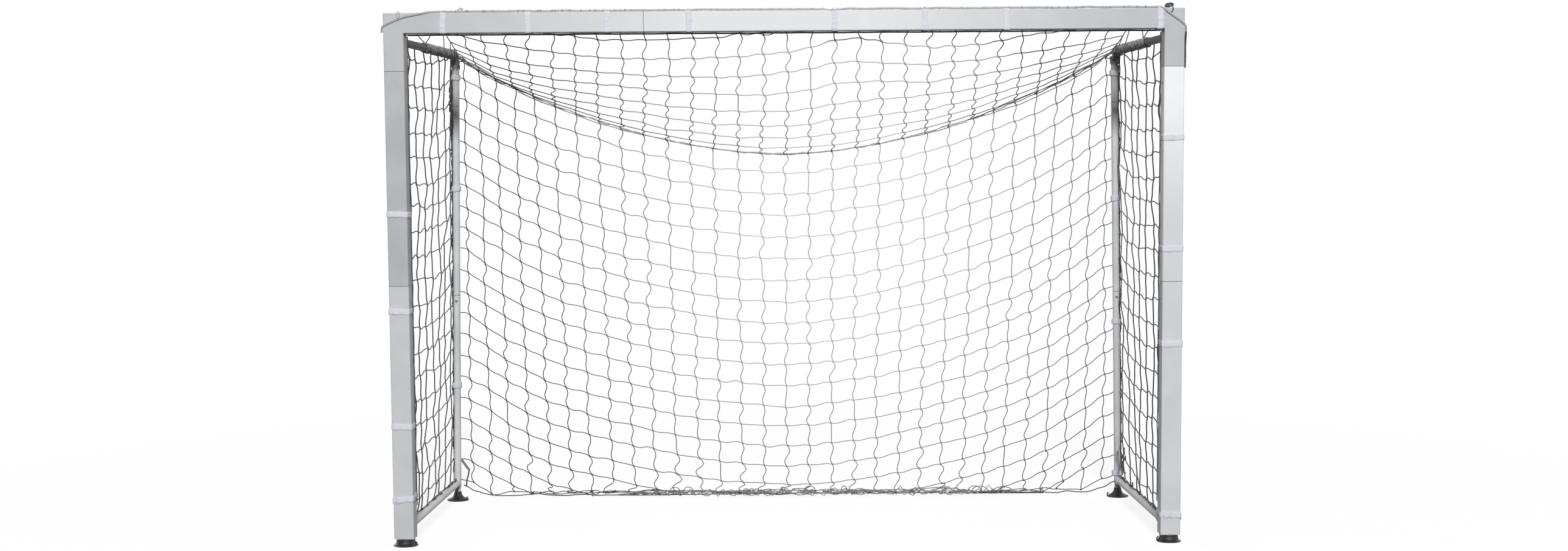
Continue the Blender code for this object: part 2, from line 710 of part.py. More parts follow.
def lattice(name, point, thickness, us, vs):
    """Net panel in one piece: strands where either index is a strand.

    point(u, v) gives the middle surface. The grid has a line at both edges of
    every strand, at us one way and vs the other, and its cells are filled
    except where both indices fall between strands. thickness is the vector
    through it.
    """
    work = bmesh.new()
    layers = []
    for sign in (-0.5, 0.5):
        shift = sign * Vector(thickness)
        layers.append([[work.verts.new(point(u, v) + shift) for v in vs] for u in us])

    def filled(i, j):
        inside = 0 <= i < len(us) - 1 and 0 <= j < len(vs) - 1
        return inside and not (i % 2 and j % 2)

    for i in range(len(us) - 1):
        for j in range(len(vs) - 1):
            if not filled(i, j):
                continue
            corners = ((i, j), (i + 1, j), (i + 1, j + 1), (i, j + 1))
            for layer in layers:
                work.faces.new([layer[a][b] for a, b in corners])
            beside = ((i, j - 1), (i + 1, j), (i, j + 1), (i - 1, j))
            for k, (a, b) in enumerate(beside):
                if filled(a, b):
                    continue
                start, end = corners[k], corners[(k + 1) % 4]
                bottom, top = layers
                work.faces.new(
                    (
                        bottom[start[0]][start[1]],
                        bottom[end[0]][end[1]],
                        top[end[0]][end[1]],
                        top[start[0]][start[1]],
                    )
                )
    bmesh.ops.recalc_face_normals(work, faces=work.faces)
    loose = [vert for vert in work.verts if not vert.link_faces]
    bmesh.ops.delete(work, geom=loose, context="VERTS")
    mesh = bpy.data.meshes.new(name)
    work.to_mesh(mesh)
    work.free()
    mesh.materials.append(material("net_twine"))
    panel = bpy.data.objects.new(name, mesh)
    bpy.context.scene.collection.objects.link(panel)
    return panel


BACK_NET_Y = REAR_Y + TUBE_RADIUS + STANDOFF + TWINE / 2
NET_FRONT_Y = BACK_OF_POST_Y + STANDOFF
RIDGE_END_Z = TOP_BAR_Z - RIDGE_BELOW_BAR
SIDE_HEM_Z = LOW_BAR_HEIGHT - TUBE_RADIUS
RIDGE_EDGE_X = REAR_TOP_X - TUBE_RADIUS - STANDOFF
RIDGE_TURN_X = RIDGE_EDGE_X - 0.030
FLARE_SLACK = (HEM_BEHIND - TUBE_RADIUS) * (NET_PITCH / FLARE_HEIGHT) ** 2 / 4


def ridge_share(x):
    """How far out towards the ridge's ends a place on it is, from 0 to 1."""
    return min(1.0, abs(x) / RIDGE_TURN_X)


def ridge_z(x):
    """Height of the net's ridge, which sags between the corners."""
    return RIDGE_END_Z - RIDGE_SAG * (1 - ridge_share(x) ** 1.8)


def ridge_pull(x):
    """How far the short top panel pulls the ridge forward of its ends."""
    return RIDGE_FORWARD * (1 - ridge_share(x) ** RIDGE_SQUARENESS)


def ridge_lines(edge):
    """Strand edges along the ridge, with one more strand out at each edge."""
    inner = line_edges(2 * RIDGE_TURN_X + TWINE) - RIDGE_TURN_X - TWINE / 2
    return np.concatenate([[-edge, TWINE - edge], inner, [edge - TWINE, edge]])


def net_back_y(z):
    """Depth of the back panel, which flares out above its hem."""
    fall = max(0.0, 1 - (z - HEM_HEIGHT) / FLARE_HEIGHT)
    return BACK_NET_Y + (REAR_Y + HEM_BEHIND - BACK_NET_Y) * fall**2


def net_side_x(y, z):
    """Distance of a side panel from the middle, outside bars and upright."""
    low = side_bar_x(y, LOW_BAR_HEIGHT)
    high = side_bar_x(y, TOP_BAR_Z)
    rise = (z - LOW_BAR_HEIGHT) / (TOP_BAR_Z - LOW_BAR_HEIGHT)
    return low + (high - low) * rise + TUBE_RADIUS + STANDOFF + TWINE / 2


def build_net_back():
    """Back panel, from the ridge down to the hem."""
    edge = net_side_x(REAR_Y, RIDGE_END_Z)

    def point(across, v):
        z = HEM_HEIGHT + (ridge_z(across) - HEM_HEIGHT) * v
        level = HEM_HEIGHT + (RIDGE_END_Z - HEM_HEIGHT) * v
        x = across * net_side_x(REAR_Y, level) / edge
        return Vector((x, net_back_y(z) - ridge_pull(across) * v, z))

    rows = line_shares(RIDGE_END_Z - HEM_HEIGHT)
    lattice("net_back", point, (0, TWINE, 0), ridge_lines(edge), rows)


def build_net_top():
    """Top panel, which hangs from the back of the crossbar to the ridge."""
    front_z = CLEAR_HEIGHT + POST - TWINE
    rear = BACK_NET_Y - TWINE / 2 - FIT

    def point(across, v):
        slack = 1 - ridge_share(across) ** 4
        back = rear - ridge_pull(across)
        y = NET_FRONT_Y + (back - NET_FRONT_Y) * v ** (1 + 0.6 * slack)
        fall = 1 - (1 - v) ** (1 + 0.5 * slack)
        beside = NET_FRONT_Y + (REAR_Y - NET_FRONT_Y) * v
        reach = side_bar_x(beside, TOP_BAR_Z) - TUBE_RADIUS - STANDOFF
        x = across * reach / RIDGE_EDGE_X
        return Vector((x, y, front_z + (ridge_z(across) - front_z) * fall))

    rows = line_shares(rear - NET_FRONT_Y)
    lattice("net_top", point, (0, 0, TWINE), ridge_lines(RIDGE_EDGE_X), rows)


def build_net_side(side_name):
    """Side panel, from the back of the post to the rear upright."""
    side = SIDES[side_name]
    clear = TWINE / 2 + FIT + FLARE_SLACK
    top = TOP_BAR_Z + TUBE_RADIUS

    def point(u, v):
        z = SIDE_HEM_Z + (top - SIDE_HEM_Z) * v
        y = NET_FRONT_Y + (net_back_y(z) - clear - NET_FRONT_Y) * u
        return Vector((side * net_side_x(y, z), y, z))

    columns = line_shares(BACK_NET_Y - clear - NET_FRONT_Y)
    rows = line_shares(top - SIDE_HEM_Z)
    lattice("net_" + side_name, point, (TWINE, 0, 0), columns, rows)


def build_goal():
    """Every piece of the goal."""
    for old in list(bpy.data.objects):
        bpy.data.objects.remove(old, do_unlink=True)
    crossbar = build_crossbar_middle()
    for side_name in SIDES:
        corner = build_corner(side_name)
        middle = build_upright_middle(side_name)
        lower = build_upright_lower(side_name)
        crossbar_button(side_name, crossbar, corner)
        post_button("post_upper", side_name, CORNER_SEAM_Z, corner, middle)
        post_button("post_lower", side_name, POST_SEAM_Z, middle, lower)
        top_bar = build_top_side_bar(side_name)
        rear_upper = build_rear_upright_upper(side_name)
        rear_lower = build_rear_upright_lower(side_name)
        build_bottom_side_bar(side_name)
        rear_button("rear_upper", side_name, REAR_CORNER_SEAM_Z, top_bar, rear_upper)
        rear_button("rear_lower", side_name, REAR_SEAM_Z, rear_upper, rear_lower)
        build_post_plug(side_name)
        build_front_foot(side_name)
        build_rear_foot(side_name)
        build_post_straps(side_name)
        build_rear_straps(side_name)
        build_bar_straps(side_name)
        build_net_side(side_name)
    build_crossbar_straps()
    build_net_back()
    build_net_top()


build_goal()
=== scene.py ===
"""Portable futsal goal: the finished look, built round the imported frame.

Metres, +Z up, the mouth faces -Y. The tubes stay as the frame has them and get
their coats. The net, its ropes, the straps and the feet are made here.
"""

import logging
import math
from dataclasses import dataclass, field
from enum import Enum
from functools import partial
from typing import Callable

import bpy
import numpy as np
from bpy.types import Material, NodeSocket
from mathutils import Euler, Matrix, Vector

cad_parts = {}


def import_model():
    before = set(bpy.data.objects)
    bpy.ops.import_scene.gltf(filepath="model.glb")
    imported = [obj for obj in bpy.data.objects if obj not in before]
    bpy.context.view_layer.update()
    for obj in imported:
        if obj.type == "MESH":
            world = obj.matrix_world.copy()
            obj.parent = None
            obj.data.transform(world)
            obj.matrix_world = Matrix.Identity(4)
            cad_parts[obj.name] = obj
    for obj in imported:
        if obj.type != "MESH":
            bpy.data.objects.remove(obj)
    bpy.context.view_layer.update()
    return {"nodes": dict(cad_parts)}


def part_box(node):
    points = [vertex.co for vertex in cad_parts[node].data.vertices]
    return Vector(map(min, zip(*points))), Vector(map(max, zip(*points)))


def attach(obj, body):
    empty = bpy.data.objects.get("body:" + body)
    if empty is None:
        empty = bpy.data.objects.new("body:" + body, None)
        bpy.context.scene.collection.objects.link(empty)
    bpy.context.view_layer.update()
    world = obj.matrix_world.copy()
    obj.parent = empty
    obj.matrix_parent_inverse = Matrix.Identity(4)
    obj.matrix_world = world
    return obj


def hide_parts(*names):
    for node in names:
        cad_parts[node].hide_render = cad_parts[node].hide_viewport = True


LOG = logging.getLogger("futsal_goal")
GOAL = "goal"
Array = np.ndarray
Value = np.ndarray | float
Place = tuple[float, float, float]
Adder = Callable[..., NodeSocket | None]
WHITE = (1.0, 1.0, 1.0, 1.0)


class Side(Enum):
    """Side of the goal, as seen by someone who looks into the mouth."""

    LEFT = -1
    RIGHT = 1

    @property
    def word(self) -> str:
        """The side's name as the frame's nodes spell it."""
        return self.name.lower()


def linear(hex_colour: str) -> tuple[float, ...]:
    """Turn an sRGB hex colour into linear red, green and blue, and an alpha of one."""
    parts = [int(hex_colour[i : i + 2], 16) / 255 for i in (1, 3, 5)]
    return (*[c / 12.92 if c <= 0.04045 else ((c + 0.055) / 1.055) ** 2.4 for c in parts], 1.0)


def add_node(
    tree: bpy.types.NodeTree,
    kind: str,
    inputs: dict | None = None,
    out: int | str = 0,
    stops: tuple[tuple[float, str], ...] = (),
    **settings: object,
) -> NodeSocket | None:
    """Add a node with its settings, values and links.

    Args:
        tree: The node tree it joins.
        kind: Blender's name for the node, without its first word.
        inputs: A plain value, or the output that feeds it, by the input's name or number.
        out: The output wanted.
        stops: Place from 0 to 1 and hex colour of each stop, where the node has a ramp.
        settings: The node's other settings.

    Returns:
        The output, or nothing where the node has none.
    """
    node = tree.nodes.new(f"ShaderNode{kind}")
    for name, value in settings.items():
        setattr(node, name, value)
    for key, value in (inputs or {}).items():
        if isinstance(value, NodeSocket):
            tree.links.new(value, node.inputs[key])
        else:
            node.inputs[key].default_value = value
    for index, (place, shade) in enumerate(stops):
        node.color_ramp.elements[index].position = place
        node.color_ramp.elements[index].color = linear(shade)
    return node.outputs[out] if node.outputs else None


def emptied(owner: Material | bpy.types.World) -> Adder:
    """Empty the node tree of a material or a world.

    Args:
        owner: The material or the world.

    Returns:
        The function that adds a node to its tree.
    """
    owner.use_nodes = True
    owner.node_tree.nodes.clear()
    return partial(add_node, owner.node_tree)


@dataclass(frozen=True)
class Finish:
    """A real material and the process that shaped it; each kind has its own look."""

    name: str

    def build(self) -> Material:
        """Build the finish as a material.

        Returns:
            The material.
        """
        material = bpy.data.materials.new(self.name)
        add = emptied(material)
        add("OutputMaterial", {"Surface": add("BsdfPrincipled", self.look(add))})
        return material

    def look(self, add: Adder) -> dict:
        """Give the shader's inputs by name."""
        raise NotImplementedError


@dataclass(frozen=True)
class PowderCoat(Finish):
    """Baked polyester powder coat on steel tube, sprayed and oven cured.

    The eye sees a satin grey with a fine orange peel, faint cloudy unevenness
    in shade, and rub marks where straps and hands have worn it. A thin dark
    line at each joint is painted shade, where the gap between the tubes lies in
    shade. The peel is drawn at twice its real size, since the real one is too
    fine to show. A seam is the joint's axis and its distance from the origin.
    A fade is painted light or shade along the tube: an axis, where it starts
    and ends along it, and the shade at its start.
    """

    shade: str
    dull: str
    roughness: float = 0.55
    seams: tuple[tuple[str, float], ...] = ()
    painted_light_fade: tuple[str, float, float, str] | None = None
    seam_shade: str = "#6E7172"
    seam_shade_mm: float = 1.1
    peel_mm: float = 2.2
    rub_mm: float = 1000 / 24
    cloud_mm: float = 170.0

    def along(self, add: Adder, place: NodeSocket, axis: str) -> NodeSocket:
        """Take the coordinate along a tube, and its size where the tube runs across."""
        plain = add("SeparateXYZ", {"Vector": place}, axis)
        return add("Math", {0: plain}, operation="ABSOLUTE") if axis == "X" else plain

    def look(self, add: Adder) -> dict:
        """Give clouds, painted light and shade along the tube and at each seam, rubs and peel.

        Args:
            add: The function that adds a node.

        Returns:
            The shader's inputs by name.
        """
        place = add("TexCoord", out="Object")
        scale = {"Vector": place, "Scale": 1000 / self.cloud_mm}
        clouds = add("TexNoise", {**scale, "Detail": 3.0, "Roughness": 0.55})
        coat = add("ValToRGB", {"Fac": clouds}, stops=((0.35, self.dull), (0.62, self.shade)))
        # Painted light and shade: a fade of colour along the tube stands in for the light that
        # falls on it.
        if self.painted_light_fade is not None:
            axis, start, end, shade = self.painted_light_fade
            along = self.along(add, place, axis)
            share = add("MapRange", {"Value": along, "From Min": start, "From Max": end})
            coat = add("Mix", {0: share, 6: linear(shade), 7: coat}, 2, data_type="RGBA")
        # Painted shade: a thin dark line at each joint, where the gap between the tubes lies in
        # shade.
        for axis, seam in self.seams:
            near = {0: self.along(add, place, axis), 1: seam, 2: self.seam_shade_mm / 1000}
            line = add("Math", near, operation="COMPARE")
            coat = add("Mix", {0: line, 6: coat, 7: linear(self.seam_shade)}, 2, data_type="RGBA")
        scale = {"Vector": place, "Scale": 1000 / self.rub_mm}
        rubs = add("TexNoise", {**scale, "Detail": 6.0, "Roughness": 0.7})
        worn = {"Value": rubs, "From Min": 0.35, "From Max": 0.75}
        rough = {"To Min": self.roughness - 0.06, "To Max": self.roughness + 0.12}
        peel = add("TexNoise", {"Vector": place, "Scale": 1000 / self.peel_mm, "Detail": 2.0})
        return {
            "Base Color": coat,
            "Roughness": add("MapRange", {**worn, **rough}),
            "Normal": add("Bump", {"Height": peel, "Strength": 0.12, "Distance": 0.0002}),
            "Specular IOR Level": 0.15,
        }


@dataclass(frozen=True)
class MouldedRubber(Finish):
    """Carbon-black rubber, compression moulded, with bloom and floor dust.

    The eye sees near black with a soft sheen and paler dust in patches.
    """

    name: str = "black rubber, compression moulded"
    shade: str = "#141413"
    dust: str = "#3A3A37"

    def look(self, add: Adder) -> dict:
        """Give dust in patches and a fine grain.

        Args:
            add: The function that adds a node.

        Returns:
            The shader's inputs by name.
        """
        place = {"Vector": add("TexCoord", out="Object")}
        patches = add("TexNoise", {**place, "Scale": 45.0, "Detail": 5.0, "Roughness": 0.6})
        grain = add("TexNoise", {**place, "Scale": 1400.0, "Detail": 1.0})
        stops = ((0.48, self.shade), (0.82, self.dust))
        return {
            "Base Color": add("ValToRGB", {"Fac": patches}, stops=stops),
            "Normal": add("Bump", {"Height": grain, "Strength": 0.25, "Distance": 0.0002}),
            "Roughness": 0.5,
            "Specular IOR Level": 0.4,
        }


@dataclass(frozen=True)
class Twine(Finish):
    """Braided polyethylene twine, extruded and braided in a tight tube.

    UV runs once round the twine and, in metres, along it, so the plait keeps
    its real pitch. The plait is drawn at twice its real pitch, since the real
    one is too fine to show. The plait's valleys are painted shade. Where a
    painted light shade is given, the twine is painted pale in the middle of the
    net and dark towards its edges: painted light and painted shade.
    """

    shade: str
    valley_shade: str
    pitch_mm: float = 6.0
    strands: float = 4.0
    bump_mm: float = 0.35
    painted_light_shade: str = ""
    painted_light_middle: tuple[float, float] = (0.22, 1.25)
    painted_light_reach: tuple[float, float] = (1.36, 1.70)
    painted_light_from: float = 0.25
    painted_light_to: float = 1.05

    def look(self, add: Adder) -> dict:
        """Give a plait that leans round the twine, with painted shade in its valleys.

        Args:
            add: The function that adds a node.

        Returns:
            The shader's inputs by name.
        """
        place = {"Vector": add("TexCoord", out="UV")}
        round_it, along_it = (add("SeparateXYZ", place, axis) for axis in "XY")
        turns = add("Math", {0: round_it, 1: self.strands}, operation="MULTIPLY")
        along = add("Math", {0: along_it, 1: 1000 / self.pitch_mm}, operation="MULTIPLY")
        lean = add("Math", {0: turns, 1: along}, operation="ADD")
        ridge = add("Math", {0: lean, 1: 0.5}, operation="PINGPONG")
        # Painted shade: the plait's valleys are darker.
        shade = add("ValToRGB", {"Fac": ridge}, stops=((0.05, self.valley_shade), (0.4, self.shade)))
        bump = {"Height": ridge, "Strength": 0.8, "Distance": self.bump_mm / 1000}
        return {
            "Base Color": self.paint_light(add, shade) if self.painted_light_shade else shade,
            "Normal": add("Bump", bump),
            "Roughness": 0.62,
            "Sheen Weight": 0.25,
            "Sheen Roughness": 0.5,
        }

    def paint_light(self, add: Adder, shade: NodeSocket) -> NodeSocket:
        """Blend the twine into its painted light shade towards the middle of the net.

        Args:
            add: The function that adds a node.
            shade: The colour so far.

        Returns:
            The blended colour.
        """
        # Painted light: pale in the middle of the net, dark towards its edges.
        (across, up), (wide, high) = self.painted_light_middle, self.painted_light_reach
        place = add("TexCoord", out="Object")
        scaled = {0: place, 1: (1 / wide, 0.0, 1 / high), 2: (-across / wide, 0.0, -up / high)}
        moved = add("VectorMath", scaled, operation="MULTIPLY_ADD")
        away = add("VectorMath", {0: moved}, "Value", operation="LENGTH")
        span = {"From Min": self.painted_light_from, "From Max": self.painted_light_to}
        share = add("MapRange", {"Value": away, **span, "To Min": 1.0, "To Max": 0.0})
        return add("Mix", {0: share, 6: shade, 7: linear(self.painted_light_shade)}, 2, data_type="RGBA")


@dataclass(frozen=True)
class HookTape(Finish):
    """Woven nylon hook-and-loop tape, dyed a pale lilac white.

    UV runs in metres across and along the tape. The eye sees a plain weave
    with paler threads and a soft nap.
    """

    name: str = "nylon hook and loop tape, woven"
    shade: str = "#ECECF3"
    shadow: str = "#D8D8E6"
    thread_mm: float = 1.6

    def look(self, add: Adder) -> dict:
        """Give a weave of two sets of threads, with a nap on it.

        Args:
            add: The function that adds a node.

        Returns:
            The shader's inputs by name.
        """
        place = {"Vector": add("TexCoord", out="UV")}
        rate = 1000 / self.thread_mm / (2 * math.pi)
        bands = {**place, "Scale": rate, "Distortion": 0.6, "Detail": 1.0}
        warp, weft = (add("TexWave", bands, "Fac", bands_direction=way) for way in "XY")
        weave = add("Math", {0: warp, 1: weft}, operation="MULTIPLY")
        nap = add("TexNoise", {**place, "Scale": 900.0, "Detail": 2.0})
        height = add("Math", {0: weave, 1: nap}, operation="ADD")
        stops = ((0.0, self.shadow), (0.55, self.shade))
        return {
            "Base Color": add("ValToRGB", {"Fac": weave}, stops=stops),
            "Normal": add("Bump", {"Height": height, "Strength": 0.5, "Distance": 0.0004}),
            "Roughness": 0.85,
            "Sheen Weight": 0.4,
            "Sheen Roughness": 0.4,
        }


@dataclass(frozen=True)
class PlatedSteel(Finish):
    """Zinc-plated steel, turned and barrel plated.

    The eye sees a grey metal with fine turning marks and a faint tarnish.
    """

    name: str = "zinc-plated steel, turned"
    shade: str = "#8E8D88"
    tarnish: str = "#4A4946"

    def look(self, add: Adder) -> dict:
        """Give turning marks of tarnish on bright metal.

        Args:
            add: The function that adds a node.

        Returns:
            The shader's inputs by name.
        """
        place = add("TexCoord", out="Object")
        marks = add("TexNoise", {"Vector": place, "Scale": 800.0, "Detail": 3.0})
        shade = add("ValToRGB", {"Fac": marks}, stops=((0.3, self.tarnish), (0.65, self.shade)))
        return {"Base Color": shade, "Metallic": 1.0, "Roughness": 0.34}


@dataclass(frozen=True)
class MouldedPlastic(Finish):
    """Grey polypropylene, injection moulded, with a fine spark-eroded grain."""

    name: str = "grey polypropylene, injection moulded"
    shade: str = "#D5D6D6"
    dull: str = "#C6C7C7"

    def look(self, add: Adder) -> dict:
        """Give faint clouds and a fine grain.

        Args:
            add: The function that adds a node.

        Returns:
            The shader's inputs by name.
        """
        place = {"Vector": add("TexCoord", out="Object")}
        clouds = add("TexNoise", {**place, "Scale": 60.0, "Detail": 3.0})
        grain = add("TexNoise", {**place, "Scale": 1600.0, "Detail": 1.0})
        stops = ((0.4, self.dull), (0.6, self.shade))
        return {
            "Base Color": add("ValToRGB", {"Fac": clouds}, stops=stops),
            "Normal": add("Bump", {"Height": grain, "Strength": 0.2, "Distance": 0.0001}),
            "Roughness": 0.48,
        }


@dataclass(frozen=True)
class Finishes:
    """Every material on the goal, built once."""

    made: dict = field(default_factory=dict)

    def get(self, finish: Finish) -> Material:
        """Build a finish the first time it is asked for.

        Args:
            finish: The finish.

        Returns:
            Its material.
        """
        if finish not in self.made:
            self.made[finish] = finish.build()
        return self.made[finish]


# The net twine is painted pale in the middle of the net and dark at its edges: painted light and
# shade.
NET_TWINE = Twine("braided net twine, polyethylene", "#4E4F50", "#323334", painted_light_shade="#D8D9D9")
WOUND_TWINE = Twine("net twine wound on a tube", "#A8A9AA", "#5C5D5F")
# The net's twine, lighter where it lies on the floor.
HEAP_TWINE = Twine("net twine on the floor, lighter", "#9C9D9E", "#7A7B7C")
HEM_ROPE = Twine("hem rope, dusty grey polyester", "#6E6F70", "#454647", 9.0, 3.0, 0.6)
ROPE_GREY = Twine("braided border rope, weathered grey", "#CDD0D1", "#8B8E90", 9.0, 3.0, 0.6)
ROPE_DARK = Twine("twisted rope, dark polyester", "#303132", "#151616", 9.0, 3.0, 0.8)
ROPE_PALE = Twine("twisted ridge cord, pale polyester", "#DCDEDE", "#A8AAAA", 7.0, 3.0, 0.5)
RUBBER = MouldedRubber()
TAPE = HookTape()
STEEL = PlatedSteel()
PLASTIC = MouldedPlastic()


def xyz(x: Value, y: Value, z: Value) -> Array:
    """Join three coordinates into points, each spread to the same shape."""
    return np.stack(np.broadcast_arrays(x, y, z), axis=-1)


def millimetres(values: tuple | Array) -> Array:
    """Turn millimetres into metres."""
    return np.array(values) / 1000


def unit(vectors: Array) -> Array:
    """Scale each vector to a length of one."""
    return vectors / np.maximum(np.linalg.norm(vectors, axis=-1, keepdims=True), 1e-12)


def smooth_step(share: Array) -> Array:
    """Ease from 0 to 1 with a level start and end: three s squared less two s cubed."""
    share = np.clip(share, 0.0, 1.0)
    return share * share * (3 - 2 * share)


def distance_along(path: Array) -> Array:
    """Add up the steps of each path, from zero at its start."""
    step = np.linalg.norm(np.diff(path, axis=-2), axis=-1)
    return np.concatenate([np.zeros_like(step[..., :1]), np.cumsum(step, axis=-1)], axis=-1)


def wander(rng: np.random.Generator, along: Array, wave: float, count: int) -> Array:
    """Draw smooth random curves with a spread of about one.

    Each curve is a sum of four sines, whose lengths are the wave divided by 1,
    1.7, 2.6 and 4.1, with random starts.

    Args:
        rng: The source of the random starts.
        along: Distances at which the curves are wanted.
        wave: The longest sine's length.
        count: How many curves.

    Returns:
        Curves by distances.
    """
    rates = np.array([1.0, 1.7, 2.6, 4.1])[None, :, None]
    start = rng.uniform(0, 2 * np.pi, (count, rates.size, 1))
    turn = 2 * np.pi * rates * along / wave + start
    return (np.sin(turn) / np.sqrt(rates)).sum(axis=1) * 0.85


@dataclass
class MeshParts:
    """Vertices, faces and UVs gathered for one piece."""

    points: list[Array] = field(default_factory=list)
    faces: list[Array] = field(default_factory=list)
    uvs: list[Array] = field(default_factory=list)
    count: int = 0

    def add(self, points: Array, faces: Array, uvs: Array) -> None:
        """Add closed surfaces of quads, turned so that their faces point outward.

        The volume that the faces enclose is the sum of the tetrahedra that they
        make with the middle. Where it comes out negative, the corners run the
        wrong way round and are put in the opposite order.

        Args:
            points: One row of x, y, z for each vertex.
            faces: Four vertex numbers for each face.
            uvs: u, v for each corner of each face.
        """
        points, faces = points.reshape(-1, 3), faces.reshape(-1, 4)
        uvs = uvs.reshape(-1, 4, 2)
        corner = points[faces] - points.mean(axis=0)
        halves = np.cross(corner[:, 1], corner[:, 2]) + np.cross(corner[:, 2], corner[:, 3])
        if np.sum(corner[:, 0] * halves) < 0:
            faces, uvs = faces[:, ::-1], uvs[:, ::-1]
        self.points.append(points)
        self.faces.append(faces + self.count)
        self.uvs.append(uvs.reshape(-1, 2))
        self.count += len(points)

    def build(self, name: str) -> bpy.types.Object:
        """Put everything into one smooth-shaded object at the origin.

        Args:
            name: The piece's name.

        Returns:
            The object.
        """
        mesh = bpy.data.meshes.new(name)
        points, faces = np.concatenate(self.points), np.concatenate(self.faces)
        mesh.from_pydata(points.tolist(), [], faces.tolist())
        layer = mesh.uv_layers.new(name="length")
        layer.data.foreach_set("uv", np.concatenate(self.uvs).astype(np.float32).ravel())
        mesh.shade_smooth()
        return add_object(name, mesh)


def add_object(name: str, data: bpy.types.ID) -> bpy.types.Object:
    """Put a mesh, a lamp or a camera into the scene.

    Args:
        name: The object's name.
        data: What it shows.

    Returns:
        The object.
    """
    made = bpy.data.objects.new(name, data)
    bpy.context.scene.collection.objects.link(made)
    return made


def skin(parts: MeshParts, rings: Array, round_u: Array, along_v: Array) -> None:
    """Stretch a surface over rings and draw each end in to a point.

    Args:
        parts: Where the surface goes.
        rings: Paths by steps by corners by x, y, z.
        round_u: The UV's u at each corner and once more at the end.
        along_v: The UV's v, paths by steps.
    """
    ends = rings[:, [0, -1]]
    middle = ends.mean(axis=2, keepdims=True)
    caps = middle + (ends - middle) * 0.02
    rings = np.concatenate([caps[:, :1], rings, caps[:, 1:]], axis=1)
    along_v = np.concatenate([along_v[:, :1], along_v, along_v[:, -1:]], axis=1)[..., None]
    index = np.arange(rings[..., 0].size).reshape(rings.shape[:3])
    here, there = index[:, :-1], index[:, 1:]
    faces = np.stack([here, np.roll(here, -1, 2), np.roll(there, -1, 2), there], axis=-1)
    u0, u1, v0, v1, _ = np.broadcast_arrays(
        round_u[:-1], round_u[1:], along_v[:, :-1], along_v[:, 1:], here
    )
    parts.add(rings, faces, np.stack([u0, v0, u1, v0, u1, v1, u0, v1], axis=-1))


def sweep(parts: MeshParts, path: Array, radius: Value, sides: int = 5) -> None:
    """Carry a round section along each path.

    A point is the path plus the radius times the cosine of the turn along the
    first cross direction and the sine along the second. The tangent joins a
    point's neighbours, the first cross direction is square to it and to the
    axis that the whole path runs least along, and the second is their cross
    product.

    Args:
        parts: Where the surface goes.
        path: Paths by points by x, y, z, or one path.
        radius: One value, or one for each path and point.
        sides: Corners of the section.
    """
    path = path if path.ndim == 3 else path[None]
    size = np.broadcast_to(np.asarray(radius, float), path.shape[:2])
    step = np.diff(path, axis=1)
    tangent = unit(np.concatenate([step, step[:, -1:]], 1) + np.concatenate([step[:, :1], step], 1))
    least = np.argmin(np.abs(tangent).mean(axis=1), axis=1)
    axis = np.broadcast_to(np.eye(3)[least][:, None, :], tangent.shape)
    first = unit(np.cross(tangent, axis))
    second = np.cross(tangent, first)
    turn = 2 * np.pi * np.arange(sides)[:, None] / sides
    ring = np.cos(turn) * first[:, :, None] + np.sin(turn) * second[:, :, None]
    rings = path[:, :, None] + size[:, :, None, None] * ring
    skin(parts, rings, np.arange(sides + 1) / sides, distance_along(path))


def flat_sweep(
    parts: MeshParts, path: Array, across: Array, out: Array, width: float, thick: float
) -> None:
    """Carry a tape's flat section, with rounded edges, along one path.

    A point is the path plus a share of the width across it and a share of the
    thickness outward.

    Args:
        parts: Where the surface goes.
        path: Points by x, y, z, at the middle of the tape's inner face.
        across: Unit direction of the tape's width at each point.
        out: Unit direction of its thickness at each point.
        width: The tape's width.
        thick: Its thickness.
    """
    side = np.array([-0.5, -0.47, -0.25, 0.0, 0.25, 0.47, 0.5, 0.47, 0.0, -0.47]) * width
    rise = np.array([0.5, 0.95, 1.0, 1.06, 1.0, 0.95, 0.5, 0.05, 0.0, 0.05]) * thick
    rings = path[:, None] + side[:, None] * across[:, None] + rise[:, None] * out[:, None]
    gap = np.hypot(np.diff(side, append=side[0]), np.diff(rise, append=rise[0]))
    round_u = np.concatenate([[0.0], np.cumsum(gap)])
    skin(parts, rings[None], round_u, distance_along(path[None]))


def turned(
    parts: MeshParts, profile: Array, centre: Value, turns: tuple[Array, ...], steps: int
) -> None:
    """Turn a profile round an axis through a point.

    A point is the centre plus the radius times the cosine of the turn along
    the first direction and the sine along the second, plus the height along
    the third. The profile starts and ends near the axis.

    Args:
        parts: Where the surface goes.
        profile: Radius and height of each point.
        centre: x, y, z where heights start.
        turns: The three directions.
        steps: Corners round the axis.
    """
    radius, height = profile.T[:, :, None, None]
    turn = 2 * np.pi * np.arange(steps)[:, None] / steps
    first, second, up = turns
    circle = np.cos(turn) * first + np.sin(turn) * second
    rings = np.array(centre) + radius * circle + height * up
    skin(parts, rings[None], np.arange(steps + 1) / steps, distance_along(profile)[None])


def smooth_path(points: list | Array, per_span: int = 6) -> Array:
    """Thread a smooth curve through points.

    Each span is a cubic whose slope at a point is half the step between its
    neighbours, so the curve passes through every point without a kink.

    Args:
        points: The points that it passes through.
        per_span: Steps between two points.

    Returns:
        The curve's points.
    """
    points = np.asarray(points, float)
    padded = np.concatenate([2 * points[:1] - points[1:2], points, 2 * points[-1:] - points[-2:-1]])
    before, start, end, after = (padded[i : len(padded) - 3 + i, None] for i in range(4))
    t = (np.arange(per_span) / per_span)[None, :, None]
    curve = 0.5 * (
        2 * start
        + (end - before) * t
        + (2 * before - 5 * start + 4 * end - after) * t**2
        + (3 * start - before - 3 * end + after) * t**3
    )
    return np.concatenate([curve.reshape(-1, points.shape[1]), points[-1:]])


